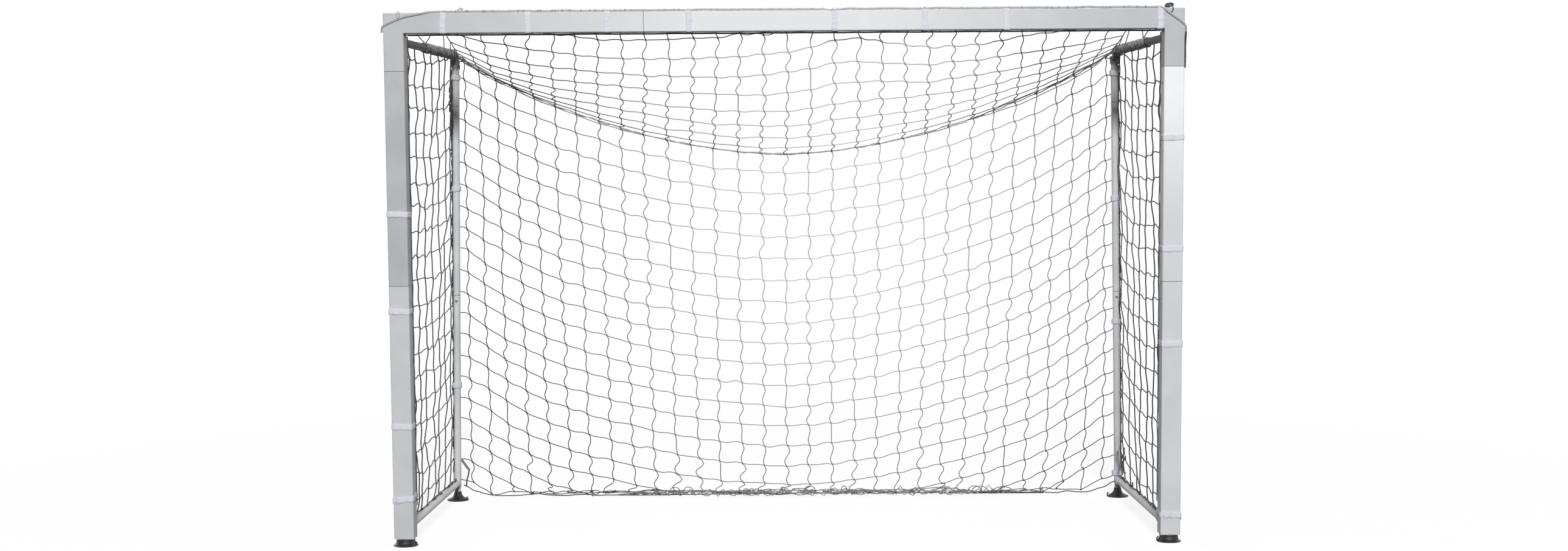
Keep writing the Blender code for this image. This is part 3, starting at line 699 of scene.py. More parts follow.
@dataclass(frozen=True)
class Frame:
    """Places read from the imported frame."""

    front: float
    back: float
    rear: float
    post_in: float
    post_out: float
    bar_low: float
    bar_high: float
    tube: float
    low_bar: float
    top_bar: float
    side_x: float
    lean_low: float
    lean_high: float
    lean_from: float
    lean_to: float
    ridge_low: float
    ridge_end: float
    ridge_front: float
    hem_y: float
    crossbar_seam: float
    corner_seam: float
    post_seam: float
    rear_seams: tuple[float, float]

    @classmethod
    def read(cls) -> "Frame":
        """Read the places from the frame's nodes.

        Returns:
            The places, in metres.
        """
        bar_lo, bar_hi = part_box("crossbar_middle")
        post_lo, post_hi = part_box("upright_middle_right")
        low_lo, low_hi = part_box("bottom_side_bar_right")
        up_lo, up_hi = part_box("rear_upright_upper_right")
        net_lo, net_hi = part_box("net_back")
        tube = (up_hi.y - up_lo.y) / 2
        return cls(
            front=bar_lo.y,
            back=bar_hi.y,
            rear=up_hi.y - tube,
            post_in=post_lo.x,
            post_out=post_hi.x,
            bar_low=bar_lo.z,
            bar_high=bar_hi.z,
            tube=tube,
            low_bar=(low_lo.z + low_hi.z) / 2,
            top_bar=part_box("top_side_bar_right")[1].z - tube,
            side_x=low_hi.x - tube,
            lean_low=up_hi.x - tube,
            lean_high=up_lo.x + tube,
            lean_from=up_lo.z,
            lean_to=up_hi.z,
            ridge_low=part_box("net_top")[0].z,
            ridge_end=net_hi.z,
            ridge_front=net_lo.y,
            hem_y=net_hi.y,
            crossbar_seam=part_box("corner_right")[0].x,
            corner_seam=post_hi.z,
            post_seam=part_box("upright_lower_right")[1].z,
            rear_seams=(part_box("rear_upright_lower_right")[1].z, up_hi.z),
        )

    def rear_x(self, z: Value) -> Value:
        """Distance from the middle of a rear upright's axis at a height."""
        share = (np.asarray(z) - self.lean_from) / (self.lean_to - self.lean_from)
        return self.lean_low + (self.lean_high - self.lean_low) * np.clip(share, -1.0, 1.3)

    def side_bar_x(self, y: Value, z: Value) -> Value:
        """Distance from the middle of a side bar's axis, which toes in to the rear."""
        share = (np.asarray(y) - self.back) / (self.rear - self.back)
        return self.side_x + (self.rear_x(z) - self.side_x) * share


@dataclass(frozen=True)
class Lamp:
    """A square soft lamp."""

    name: str
    place: Place
    target: Place
    size: float
    watts: float

    def build(self) -> None:
        """Hang the lamp and point it at its target."""
        data = bpy.data.lights.new(self.name, "AREA")
        data.shape, data.size, data.energy = "SQUARE", self.size, self.watts
        aim = (Vector(self.target) - Vector(self.place)).to_track_quat("-Z", "Y")
        turn = aim.to_matrix().to_4x4()
        add_object(self.name, data).matrix_world = Matrix.Translation(self.place) @ turn


@dataclass
class Studio:
    """Camera, white floor and backdrop, and plain soft lamps."""

    lens_mm: float = 50.0 * 3522 / 3578
    place: Place = (0.029, -9.1475, 1.553)
    pitch_deg: float = -4.82
    yaw_deg: float = -0.24
    roll_deg: float = -0.38
    shift: float = 0.040
    floor_half: float = 60.0
    near_glow: float = 0.84
    far_glow: float = 1.0
    glow_from: float = 2.4
    glow_to: float = 4.8
    fill: float = 0.085
    paper: str = "#8A8A8A"
    bounced: str = "#444444"
    goal_middle: Place = (0.0, 0.0, 1.0)

    def build(self) -> None:
        """Build the camera, the floor, the world and the lamps."""
        self.build_camera()
        self.build_floor()
        self.build_world()
        middle = self.goal_middle
        Lamp("key lamp", (0.8, -20.0, 7.9), middle, 2.0, 3650.0).build()
        Lamp("top lamp", (0.0, 0.0, 7.0), (0.0, 0.0, 0.0), 6.0, 90.0).build()
        for side in Side:
            place = (14.0 * side.value, 15.0, 6.5)
            Lamp(f"rear lamp {side.word}", place, middle, 4.5, 900.0).build()
        LOG.info("studio built")

    def build_camera(self) -> None:
        """Build the camera at the photograph's viewing angle."""
        data = bpy.data.cameras.new("camera")
        data.lens, data.sensor_width = self.lens_mm, 36.0
        data.shift_y, data.clip_end = self.shift, 200.0
        camera = add_object("camera", data)
        aim = Euler((math.radians(90 + self.pitch_deg), 0.0, math.radians(-self.yaw_deg)))
        roll = Matrix.Rotation(math.radians(self.roll_deg), 4, "Z")
        camera.matrix_world = Matrix.Translation(self.place) @ aim.to_matrix().to_4x4() @ roll
        bpy.context.scene.camera = camera

    def build_floor(self) -> None:
        """Build a wide white floor that keeps a soft shadow near the goal."""
        mesh = bpy.data.meshes.new("floor")
        half = self.floor_half
        corners = [(-half, -half, 0), (half, -half, 0), (half, half, 0), (-half, half, 0)]
        mesh.from_pydata(corners, [], [(0, 1, 2, 3)])
        floor = add_object("floor", mesh)
        material = bpy.data.materials.new("white seamless paper")
        add = emptied(material)
        place = add("TexCoord", out="Object")
        out = add("VectorMath", {0: place}, "Value", operation="LENGTH")
        away = add("MapRange", {"Value": out, "From Min": self.glow_from, "From Max": self.glow_to})
        levels, shades = (self.near_glow, self.far_glow), (self.paper, self.bounced)
        glow, white = (add("Emission", {"Color": WHITE, "Strength": level}) for level in levels)
        pale, dark = (add("BsdfDiffuse", {"Color": linear(shade)}) for shade in shades)
        near = add("AddShader", {0: pale, 1: glow})
        shown = add("MixShader", {0: away, 1: near, 2: white})
        add("OutputMaterial", {"Surface": add("MixShader", {0: self.seen(add), 1: dark, 2: shown})})
        mesh.materials.append(material)

    def seen(self, add: Adder) -> NodeSocket:
        """Say whether a ray comes from the camera, a reflection or glass.

        Args:
            add: The function that adds a node.

        Returns:
            A value that is one for such rays.
        """
        rays = add("LightPath").node.outputs
        total = rays["Is Camera Ray"]
        for name in ("Is Glossy Ray", "Is Transmission Ray"):
            total = add("Math", {0: total, 1: rays[name]}, operation="MAXIMUM")
        return total

    def build_world(self) -> None:
        """Build a world that shows white and lights the shaded sides softly."""
        world = bpy.data.worlds.new("studio")
        bpy.context.scene.world = world
        add = emptied(world)
        levels = (self.fill, 1.0)
        fill, white = (add("Background", {"Color": WHITE, "Strength": level}) for level in levels)
        add("OutputWorld", {"Surface": add("MixShader", {0: self.seen(add), 1: fill, 2: white})})


class Paint(Enum):
    """One powder coat, painted lighter or darker for each section by the light on it: a word, the
    shade, its worn shade, roughness.
    """

    # Painted light and shade: these are copies of one grey coat, each lighter or darker for the
    # light that falls on its section. The crossbar is painted lighter towards its middle, the right
    # middle upright white with a painted reflection that fades lower down, the low and rear tubes
    # lighter for the weaker light on them, and the top side bars painted dark at the front for the
    # shade there.
    BAR = ("grey, paler towards the middle of the goal", "#C4C8CB", "#BDC1C5", 0.55)
    GREY = ("light grey", "#BEC2C5", "#B5B9BC", 0.55)
    LOW_GREY = ("light grey, lower", "#D0D3D5", "#C8CCCE", 0.55)
    PALE = ("pale", "#D8DCDF", "#D0D5D8", 0.52)
    WHITE = ("white", "#FBFCFD", "#F4F6F8", 0.34)
    LOW_TUBE = ("pale tube", "#F2F3F4", "#E2E5E7", 0.5)
    TUBE = ("grey tube", "#E2E5E7", "#D2D6D9", 0.5)
    SHADED_TUBE = ("worn grey tube", "#DADDDF", "#C6CACD", 0.5)


@dataclass
class Tubes:
    """Front and rear frame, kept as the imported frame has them."""

    frame: Frame
    finishes: Finishes
    nodes: dict

    PAINTS = {
        "corner": Paint.BAR,
        "crossbar": Paint.BAR,
        "upright_middle_left": Paint.GREY,
        "upright_middle_right": Paint.WHITE,
        "upright_lower_left": Paint.LOW_GREY,
        "upright_lower_right": Paint.PALE,
        "top_side_bar": Paint.SHADED_TUBE,
        "rear_upright": Paint.TUBE,
        "bottom_side_bar": Paint.LOW_TUBE,
    }
    # Painted shade on the top side bars' front part, and painted light along the crossbar and the
    # right middle upright.
    WORN_FROM, WORN_SHADE = 0.42, "#1C1B1B"
    BAR_PAINTED_LIGHT = ("X", 0.35, 1.40, "#E7E9EA")
    WHITE_PAINTED_REFLECTION = ("Z", 1.30, 1.80, "#D9DDE0")

    def coat(self, paint: Paint) -> PowderCoat:
        """Mix the coat for a shade, with painted shade at its joints where the frame has them.

        Args:
            paint: The shade.

        Returns:
            The finish.
        """
        word, shade, dull, rough = paint.value
        frame = self.frame
        if paint in (Paint.TUBE, Paint.LOW_TUBE, Paint.SHADED_TUBE):
            seams = tuple(("Z", seam) for seam in frame.rear_seams)
        else:
            seams = (("X", frame.crossbar_seam), ("Z", frame.corner_seam), ("Z", frame.post_seam))
        painted_light_fade = {
            Paint.SHADED_TUBE: ("Y", self.WORN_FROM, frame.rear, self.WORN_SHADE),
            Paint.BAR: self.BAR_PAINTED_LIGHT,
            Paint.WHITE: self.WHITE_PAINTED_REFLECTION,
        }.get(paint)
        return PowderCoat(f"{word} powder coat, cured", shade, dull, rough, seams, painted_light_fade)

    def finish_of(self, name: str) -> Finish | None:
        """Choose the finish of a kept node.

        Args:
            name: The node.

        Returns:
            Its finish, or nothing for a node that a made piece replaces.
        """
        if name.startswith("button_"):
            return STEEL
        if name.startswith("post_plug_"):
            return PLASTIC
        paints = [paint for start, paint in self.PAINTS.items() if name.startswith(start)]
        return self.coat(paints[0]) if paints else None

    def dress(self) -> None:
        """Give each kept node its finish."""
        for name, node in self.nodes.items():
            finish = self.finish_of(name)
            if finish is not None:
                node.data.materials.clear()
                node.data.materials.append(self.finishes.get(finish))
                LOG.info("%s dressed in %s", name, finish.name)


@dataclass
class Made:
    """What every class that makes pieces shares."""

    frame: Frame
    finishes: Finishes
    rng: np.random.Generator = field(init=False)

    SEED = 7418

    def __post_init__(self) -> None:
        """Start the random draws."""
        self.rng = np.random.default_rng(self.SEED)

    def finish(
        self,
        name: str,
        parts: MeshParts,
        finish: Finish,
        slot: str = "net_twine",
        replaced: tuple[str, ...] = (),
    ) -> None:
        """Turn gathered surfaces into a dressed piece that rides on the goal.

        Args:
            name: The piece's name.
            parts: Its surfaces.
            finish: Its finish.
            slot: Not used.
            replaced: The CAD nodes that it stands for.
        """
        piece = parts.build(name)
        piece.data.materials.append(self.finishes.get(finish))
        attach(piece, GOAL)
        if replaced:
            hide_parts(*replaced)
        LOG.info("%s built with %d faces in %s", name, len(piece.data.polygons), finish.name)


def cell_wave(knots: Array, per_cell: int, waves: Array, drift: Array) -> Array:
    """Run a strand through its knots with a little slack in each cell.

    Between two knots the strand is the straight line plus one full sine,
    scaled by that cell's wave, so it bulges one way after a knot and the
    other way before the next.

    Args:
        knots: Strands by knots by x, y, z.
        per_cell: Steps between two knots.
        waves: Strands by cells, each the sine's height in metres.
        drift: Direction of the wave, x, y, z, for each strand and cell.

    Returns:
        Strands by points by x, y, z.
    """
    t = np.arange(per_cell)[:, None] / per_cell
    start, end = knots[:, :-1, None], knots[:, 1:, None]
    swing = waves[:, :, None, None] * np.sin(2 * np.pi * t)
    line = start + (end - start) * t + swing * drift[:, :, None]
    return np.concatenate([line.reshape(len(knots), -1, 3), knots[:, -1:]], axis=1)


@dataclass
class Net(Made):
    """Knotted net in four panels, hung slack on the frame.

    Each panel is a grid of knots worked out from the frame, joined by strands
    that carry a little slack in every cell. Between the rear corners the net
    hangs from a ridge rope that sags down and forward, so the back panel and
    the top panel share the ridge's knots.

    bar_places are the crossbar's places of bar_columns, and the columns
    between them stand evenly. crowded_rows and edge_rows are shares of the way
    from the crossbar to the ridge, near the ridge's ends and on the side bars.
    top_columns and low_columns are shares of the way from the post to the rear
    upright, at the top and at the floor. LIFTS are a place on the crossbar and
    how far the top panel is lifted there, in millimetres.
    """

    twine: float = 0.0022
    side_twine: float = 0.0028
    knot: float = 0.0033
    cell: float = 0.1015
    first_cell_short: float = 0.026
    side_cell_short: float = 0.040
    per_cell: int = 8
    slack: float = 0.0064
    row_slack: float = 0.0026
    side_slack: float = 0.004
    low_slack: float = 0.45
    low_height: float = 0.25
    turn_in: float = 0.030
    columns: int = 30
    column_spread: tuple[float, float] = (1.520, 0.075)
    bar_columns: tuple[float, ...] = (0, 1, 2, 3, 4, 30)
    bar_places: tuple[float, ...] = (-1.378, -1.295, -1.208, -1.114, -1.017, 1.425)
    crowded_rows: tuple[float, ...] = (0.0, 0.06, 0.26, 0.50, 0.67, 0.79, 0.88, 0.94, 0.98, 1.0)
    crowded_from: float = 0.66
    crowded_over: float = 0.68
    edge_rows: tuple[float, ...] = (0.0, 0.40, 0.75, 0.88, 0.95, 0.97, 0.98, 0.99, 0.995, 1.0)
    top_columns: tuple[float, ...] = (0.0, 0.06, 0.16, 0.28, 0.43, 0.58, 0.72, 0.84, 0.95, 1.0)
    low_columns: tuple[float, ...] = (0.0, 0.09, 0.18, 0.28, 0.40, 0.52, 0.64, 0.77, 0.90, 1.0)
    top_rows: int = 9
    back_rows: int = 20
    side_rows: int = 20
    edge_tight: float = 0.045
    edge_lift: float = 0.020
    flare_height: float = 0.45
    fold_length: float = 0.10
    floor: float = 0.010
    heap_depth: float = 0.040

    LIFTS = (
        (-1450, 0), (-1200, -40), (-1000, -45), (-800, -45), (-600, -35), (-300, -12), (0, 20),
        (250, 72), (420, 45), (550, 12), (750, 0), (950, 10), (1450, 0),
    )

    def build(self) -> None:
        """Build the four panels."""
        self.build_back()
        self.build_top()
        for side in Side:
            self.build_side(side)

    @property
    def back_plane(self) -> float:
        """Depth of the back panel just behind the uprights."""
        return self.frame.rear + self.frame.tube + 2 * self.twine

    def ridge(self, x: Array) -> tuple[Array, Array]:
        """Say where the ridge is across the goal.

        The share is the distance from the middle over that of the ridge's
        ends. The height falls short of the ends' by the sag times one less
        the share to the power 1.8, and the depth by the forward hang times
        one less its fifth power.

        Args:
            x: Places across the goal.

        Returns:
            Its depth and height.
        """
        frame = self.frame
        share = np.minimum(np.abs(x) / (frame.rear_x(frame.ridge_end) - self.turn_in), 1.0)
        height = frame.ridge_end - (frame.ridge_end - frame.ridge_low) * (1 - share**1.8)
        return self.back_plane - (self.back_plane - frame.ridge_front) * (1 - share**5), height

    def ridge_x(self) -> Array:
        """Places of the columns, a little closer together towards the ends."""
        u = np.linspace(-1, 1, self.columns + 1)
        return self.column_spread[0] * u - self.column_spread[1] * u**3

    def build_panel(
        self,
        node: str,
        knots: Array,
        wave_u: float,
        wave_v: Value,
        thick: float,
        rows_kept: int | None = None,
    ) -> None:
        """Build a panel: strands both ways through a grid of knots, and the knots.

        Args:
            node: The CAD panel that it stands for.
            knots: Columns by rows by x, y, z.
            wave_u: Slack of the strands that join columns.
            wave_v: Slack of the strands that run down the rows.
            thick: The twine's radius.
            rows_kept: How many rows have a strand across; all when not given.
        """
        parts = MeshParts()
        columns, rows = knots.shape[:2]
        across, along = unit(np.gradient(knots, axis=0)), unit(np.gradient(knots, axis=1))
        wave = wave_v * (1 + 0.35 * self.rng.standard_normal((columns, rows - 1)))
        sweep(parts, cell_wave(knots, self.per_cell, wave, across[:, :-1]), thick)
        wave = wave_u * (1 + 0.5 * self.rng.standard_normal((rows, columns - 1)))
        over, lean = knots.transpose(1, 0, 2), along.transpose(1, 0, 2)[:, :-1]
        sweep(parts, cell_wave(over, self.per_cell, wave, lean)[:rows_kept], thick * 0.94)
        reach = np.array([-1.7, -1.0, 0.0, 1.0, 1.7]) * self.knot
        width = np.array([0.45, 0.95, 1.0, 0.95, 0.45]) * self.knot
        centre, tilt = knots.reshape(-1, 1, 3), along.reshape(-1, 1, 3)
        sweep(parts, centre + reach[:, None] * tilt, width)
        self.finish(f"{node}_twine", parts, NET_TWINE, replaced=(node,))

    def build_back(self) -> None:
        """Build the back panel, whose spare rows lie in a heap on the floor.

        The knot in row j lies down the slope from the ridge to the hem, j cells
        less the first cell's shortness. Where that is past the floor, the
        strand turns along it, and the depth left over folds back and forth.
        """
        frame, normal = self.frame, self.rng.standard_normal
        inner = self.ridge_x()
        row = np.arange(self.back_rows + 1)
        slope = self.cell * row - self.first_cell_short * (1 - np.exp(-row.astype(float)))
        depth, height = self.ridge(inner)
        pull = self.back_plane - np.pad(depth, 1, constant_values=self.back_plane)
        height = (np.pad(height, 1, "edge") - self.floor)[:, None]
        off_middle = smooth_step((np.abs(np.pad(inner, 1, "edge")) - 1.0) / 0.5)
        tight = 1 - self.edge_tight * off_middle
        z = height - slope * (tight * height[:, 0] / np.hypot(height[:, 0], pull))[:, None]
        z[[0, -1], 1:] += self.edge_lift
        spare = np.clip(-z, 0, None)
        z = np.maximum(z, 0) + self.floor
        edge = frame.rear_x(z[0]) + frame.tube + self.twine
        x = np.concatenate([-edge[None], np.repeat(inner[:, None], len(row), 1), edge[None]])
        flare = np.clip(1 - (z - self.floor) / self.flare_height, 0, 1) ** 2
        y = self.back_plane + (frame.hem_y - 0.004 - self.back_plane) * flare
        y = y - pull[:, None] * (z - self.floor) / height
        loose = np.where(spare > 0, 1.0, 0.0)
        fold = np.abs((spare / self.fold_length + 0.4) % 2 - 1)
        y = y + loose * (0.040 - 0.085 * fold + 0.008 * normal(z.shape))
        x = x + (0.0035 + 0.014 * loose) * normal(z.shape)
        z = z + (0.0025 * (1 - loose) * (row > 0)) * normal(z.shape)
        z = z + loose * (0.004 + 0.014 * self.rng.random(z.shape))
        y = np.minimum(y, frame.hem_y + self.heap_depth)
        wave = self.slack * (1 + self.low_slack * (z[:, :-1] < self.low_height))
        self.build_panel("net_back", xyz(x, y, z), self.row_slack, wave, self.twine)

    def front_lift(self, x: Array) -> Array:
        """How far straps and slack move the second row of the top panel up or down."""
        return np.interp(x, *millimetres(self.LIFTS).T)

    def top_share(self, x: Array, share: Array) -> tuple[Array, Array]:
        """Say how far each row of the top panel is from the crossbar to the ridge.

        In the slack middle the depth's share is the row's to the power 1.6,
        and the fall's is one less the rest of the way to the power 1.5.
        Towards the ends the rows crowd at the ridge, as crowded_rows says.

        Args:
            x: Places across the goal.
            share: Each row over the rows.

        Returns:
            The share of the depth and that of the fall.
        """
        end = smooth_step((np.abs(x) - self.crowded_from) / self.crowded_over)
        crowded = np.array(self.crowded_rows) * end
        depth = share**1.6 * (1 - end) + crowded
        return depth, (1 - (1 - share) ** 1.5) * (1 - end) + crowded

    def build_top(self) -> None:
        """Build the top panel, from the crossbar's back edge to the ridge.

        A knot lies between its column's place on the crossbar and the one on
        the ridge. A column more at each end lies on the top side bar.
        """
        frame, normal = self.frame, self.rng.standard_normal
        share = (np.arange(self.top_rows + 1) / self.top_rows)[None]
        ridge_x = self.ridge_x()[:, None]
        depth, height = self.ridge(ridge_x)
        front_y, front_z = frame.back + 0.003, frame.bar_high - 0.002
        bar_x = np.interp(np.arange(self.columns + 1), self.bar_columns, self.bar_places)[:, None]
        deep, fall = self.top_share(ridge_x, share)
        x = bar_x + (ridge_x - bar_x) * deep**0.8
        y = front_y + (depth - front_y) * deep
        z = front_z - (front_z - height) * fall
        loose = np.clip(share / 0.15, 0, 1) * ((1 - share) / 0.78) ** 1.3
        z = z + self.front_lift(bar_x) * loose
        inside = (share > 0) & (share < 1)
        x = x + 0.0035 * inside * normal(x.shape)
        z = z + 0.0025 * inside * normal(z.shape)
        edge_y = front_y + (frame.rear - front_y) * np.array([self.edge_rows])
        edge_x = frame.side_bar_x(edge_y, frame.top_bar) - 0.004
        over = frame.top_bar + frame.tube + self.twine
        edge_z = np.where(share > 0, over, front_z) + (frame.ridge_end - over) * share**6
        left, right = (xyz(way * edge_x, edge_y, edge_z) for way in (-1, 1))
        knots = np.concatenate([left, xyz(x, y, z), right])
        rows = self.top_rows
        self.build_panel("net_top", knots, self.row_slack, self.slack, self.twine, rows)

    def build_side(self, side: Side) -> None:
        """Build a side panel, between the post and the rear upright.

        A knot's height falls one cell a row. Its rows rise behind the last
        columns, and its columns stand closer together at the floor's front.

        Args:
            side: Which side.
        """
        frame, normal = self.frame, self.rng.standard_normal
        top, low = np.array(self.top_columns)[:, None], np.array(self.low_columns)[:, None]
        row = np.arange(self.side_rows + 1)[None]
        share = top + (low - top) * (row / self.side_rows)
        high, hem = frame.top_bar + frame.tube, frame.low_bar - frame.tube
        hung = self.cell * self.side_rows - self.side_cell_short
        z = high - (self.cell * row - self.side_cell_short * (row > 0)) * (high - hem) / hung
        dip = 0.018 * np.sin(np.pi * np.clip(share / 0.8, 0, 1))
        rise = 0.030 * smooth_step((share - 0.75) / 0.2)
        between = (row > 0) & (row < self.side_rows)
        z = z + (rise - dip) * between
        y = frame.back + 0.003 + (frame.rear + frame.tube * 0.6 - frame.back) * share
        free = between & (share > 0) & (share < 1)
        y = y + 0.012 * free * normal(z.shape)
        z = z + 0.006 * free * normal(z.shape)
        x = frame.side_bar_x(y, z) + frame.tube + 0.0035
        x = x - free * 0.006 * np.abs(normal(z.shape))
        knots, slack = xyz(side.value * x, y, z), self.slack * 1.2
        self.build_panel(f"net_{side.word}", knots, self.side_slack, slack, self.side_twine)


def cross_frame(path: Array) -> tuple[Array, Array]:
    """Give two unit directions square to a path and to each other at each point.

    Args:
        path: Points by x, y, z.

    Returns:
        The first direction, square to the axis that the path runs least along,
        and the second.
    """
    tangent = unit(np.gradient(path, axis=0))
    axis = np.eye(3)[np.argmin(np.abs(tangent).mean(axis=0))]
    first = unit(np.cross(tangent, axis))
    return first, np.cross(tangent, first)


def resampled(path: Array, step: float) -> Array:
    """Put points at even distances along a path.

    Args:
        path: Points by x, y, z.
        step: The distance wanted between points.

    Returns:
        The new points.
    """
    length = distance_along(path)
    places = np.linspace(0, length[-1], max(int(length[-1] / step), 4) + 1)
    return xyz(*(np.interp(places, length, line) for line in path.T))


def coiled(path: Array, reach: Value, pitch: float, phase: Value) -> Array:
    """Wind a line round a path.

    A point is the path plus the reach times the cosine of the turn along the
    first cross direction and the sine along the second. The turn grows by one
    for each pitch along the path.

    Args:
        path: Points by x, y, z.
        reach: Distance from the path, one value or one for each point.
        pitch: Distance along the path in one turn.
        phase: Where the turn starts, in turns, one value or one for each point.

    Returns:
        The wound line's points.
    """
    first, second = cross_frame(path)
    turn = (2 * np.pi * (distance_along(path) / pitch + phase))[:, None]
    reach = np.broadcast_to(np.asarray(reach, float), len(path))[:, None]
    return path + reach * (np.cos(turn) * first + np.sin(turn) * second)


def lay_rope(
    parts: MeshParts, points: Array, radius: float, pitch: float = 0.030, strands: int = 3
) -> None:
    """Lay a rope of twisted strands through points.

    Args:
        parts: Where the surface goes.
        points: The points that its middle passes through.
        radius: The rope's radius.
        pitch: Distance in which a strand goes round once.
        strands: How many strands.
    """
    path = resampled(smooth_path(points), pitch / 7)
    for strand in range(strands):
        sweep(parts, coiled(path, radius * 0.5, pitch, strand / strands), radius * 0.54, 6)


@dataclass
class Ropes(Made):
    """Ropes along the net's edges, and the net where it is wound on the tubes.

    The rows of points are in millimetres: from the outer top edge of a corner
    for the border rope and its loops, and from the hem for the hem rope.
    """

    border: float = 0.0044
    underside_shade_cord: float = 0.0034
    post_cord: float = 0.0022
    ridge_dark: float = 0.0031
    ridge_pale: float = 0.0021
    dark_from: float = 1.16
    split_from: float = 0.78
    hem: float = 0.0027
    heap_depth: float = 0.042
    bend: float = 0.085

    SEED = Made.SEED + 1
    LEFT_CORNER = (
        (-8, 16, -74), (-3, 4, -56), (10, 0, -46), (33, 0, -35), (60, 0, -24), (88, 0, -15),
        (118, 0, -9), (150, 0, -3), (190, 6, 3),
    )
    RIGHT_CORNER = (
        (-90, 4, 2), (-66, -1, -16), (-36, 0, -37), (-8, 0, -58), (4, 6, -74), (6, 14, -95),
    )
    TAIL = ((6, 13, -88), (5.5, 18, -120), (4.5, 20, -150), (5, 22, -190), (4.5, 24, -234))
    BUMP = (
        (-1292, 30, 2), (-1284, 22, 8), (-1272, 18, 13), (-1268, 20, 10), (-1276, 28, 2),
    )
    KNOT = ((15, 7.2, 0), (10.5, 5, 6), (6, 6, -6))
    KNOT_END = ((-52, 6, 4), (-47, 1, -6), (-52, -1, -20), (-60, 0, -26))
    HEM_END = (
        (1487, -38, 64), (1468, -34, 55), (1444, -28, 38), (1418, -22, 30), (1398, -10, 20),
    )

    def build(self, net: Net) -> None:
        """Build every rope.

        Args:
            net: The net whose edges they follow.
        """
        self.build_border()
        self.build_underside_shade_cord()
        self.build_border_loops()
        self.build_lashing()
        self.build_ridge(net)
        self.build_hem()
        self.build_heap(net)
        for side in Side:
            self.build_top_bar(side)
            self.build_upright(side)
            self.build_low_bar(side)
            self.build_corner_cord(side, net)

    def from_corner(self, side: Side, points: tuple) -> Array:
        """Place points given from a corner's outer top edge, where the rope lies on its front.

        Args:
            side: Which corner.
            points: Rows of x, y, z in millimetres.

        Returns:
            The points in metres.
        """
        frame = self.frame
        corner = (side.value * frame.post_out, frame.front - self.border, frame.bar_high)
        return np.array(corner) + millimetres(points)

    def build_border(self) -> None:
        """Build the rope that lies on the crossbar and crosses both corners."""
        frame = self.frame
        middle = np.linspace(-1.34, 1.44, 48)
        sway = wander(self.rng, middle, 0.5, 2)
        dip = np.exp(-(((middle - 0.202) / 0.03) ** 2))
        depth = frame.front + 0.016 + 0.003 * sway[0] - 0.018 * dip
        height = frame.bar_high + self.border + 0.0012 * np.abs(sway[1]) - 0.005 * dip
        parts = MeshParts()
        left = self.from_corner(Side.LEFT, self.LEFT_CORNER)
        right = self.from_corner(Side.RIGHT, self.RIGHT_CORNER)
        lay_rope(parts, np.concatenate([left, xyz(middle, depth, height), right]), self.border)
        self.finish("border_rope", parts, ROPE_GREY)

    def build_underside_shade_cord(self) -> None:
        """Build the border rope's tail, the dark cord under the crossbar, which stands in for its
        shade, and the cords down the posts.
        """
        frame = self.frame
        parts = MeshParts()
        lay_rope(parts, self.from_corner(Side.RIGHT, self.TAIL), self.border)
        # Painted shade: a dark cord laid under the crossbar for the shade on its underside.
        under = np.linspace(-frame.post_in + 0.004, frame.post_in - 0.004, 60)
        sway = wander(self.rng, under, 0.3, 2)
        height = frame.bar_low - self.underside_shade_cord - 0.0006 * np.abs(sway[1]) - 0.0003
        cord = xyz(under, frame.back - 0.014 + 0.003 * sway[0], height)
        lay_rope(parts, cord, self.underside_shade_cord, 0.020)
        down = np.linspace(0.16, frame.bar_low - 0.01, 50)
        sway = wander(self.rng, down, 0.3, 2)
        inner = frame.post_in - self.post_cord - 0.0004 - 0.0008 * np.abs(sway[0])
        for side in Side:
            cord = xyz(side.value * inner, frame.back - 0.010 + 0.003 * sway[1], down)
            lay_rope(parts, cord, self.post_cord, 0.020)
        self.finish("mouth_cord_and_rope_tail", parts, ROPE_DARK)

    def build_border_loops(self) -> None:
        """Build the thin loops that stand off the border rope, and its knot."""
        frame = self.frame
        lift = self.border
        turn = np.linspace(0, 2 * np.pi, 19)
        parts = MeshParts()
        place = np.array((0.0, frame.front - self.border, frame.bar_high + lift))
        sweep(parts, smooth_path(millimetres(self.BUMP) + place), 0.0024, 6)
        ring = xyz(61 + 5.5 * np.cos(turn), 4 * np.sin(turn) - 1, 12.5 * np.sin(turn) - 8)
        sweep(parts, self.from_corner(Side.LEFT, ring), 0.0019, 6)
        self.finish("border_rope_loops", parts, ROPE_GREY)
        parts = MeshParts()
        raised = np.array((0.0, 0.0, lift))
        for reach, rise, lean in self.KNOT:
            height = 6.5 + rise * np.sin(turn + 0.5)
            knot = xyz(lean - 62 + reach * np.cos(turn), 10 + 8 * np.sin(turn), height)
            sweep(parts, self.from_corner(Side.RIGHT, knot) + raised, 0.0034, 7)
        end = self.from_corner(Side.RIGHT, self.KNOT_END) + raised
        sweep(parts, smooth_path(end), 0.0022, 6)
        self.finish("border_rope_knot", parts, ROPE_DARK)

    def build_lashing(self, count: int = 90) -> None:
        """Build the twine that lashes the border rope to the crossbar.

        Args:
            count: How many wraps.
        """
        frame = self.frame
        wraps = np.linspace(-1.33, 1.43, count) + 0.010 * self.rng.standard_normal(count)
        lean = 0.5 * self.rng.standard_normal((count, 1))
        turn = np.linspace(-0.2, 1.2, 11)[None] * np.pi
        depth = frame.front - self.border + 0.020 + (self.border + 0.001) * np.cos(turn)
        height = frame.bar_high + self.border + (self.border + 0.0012) * np.sin(turn)
        parts = MeshParts()
        sweep(parts, xyz(wraps[:, None] + 0.004 * lean * np.cos(turn), depth, height), 0.0011)
        self.finish("border_rope_lashing", parts, NET_TWINE)

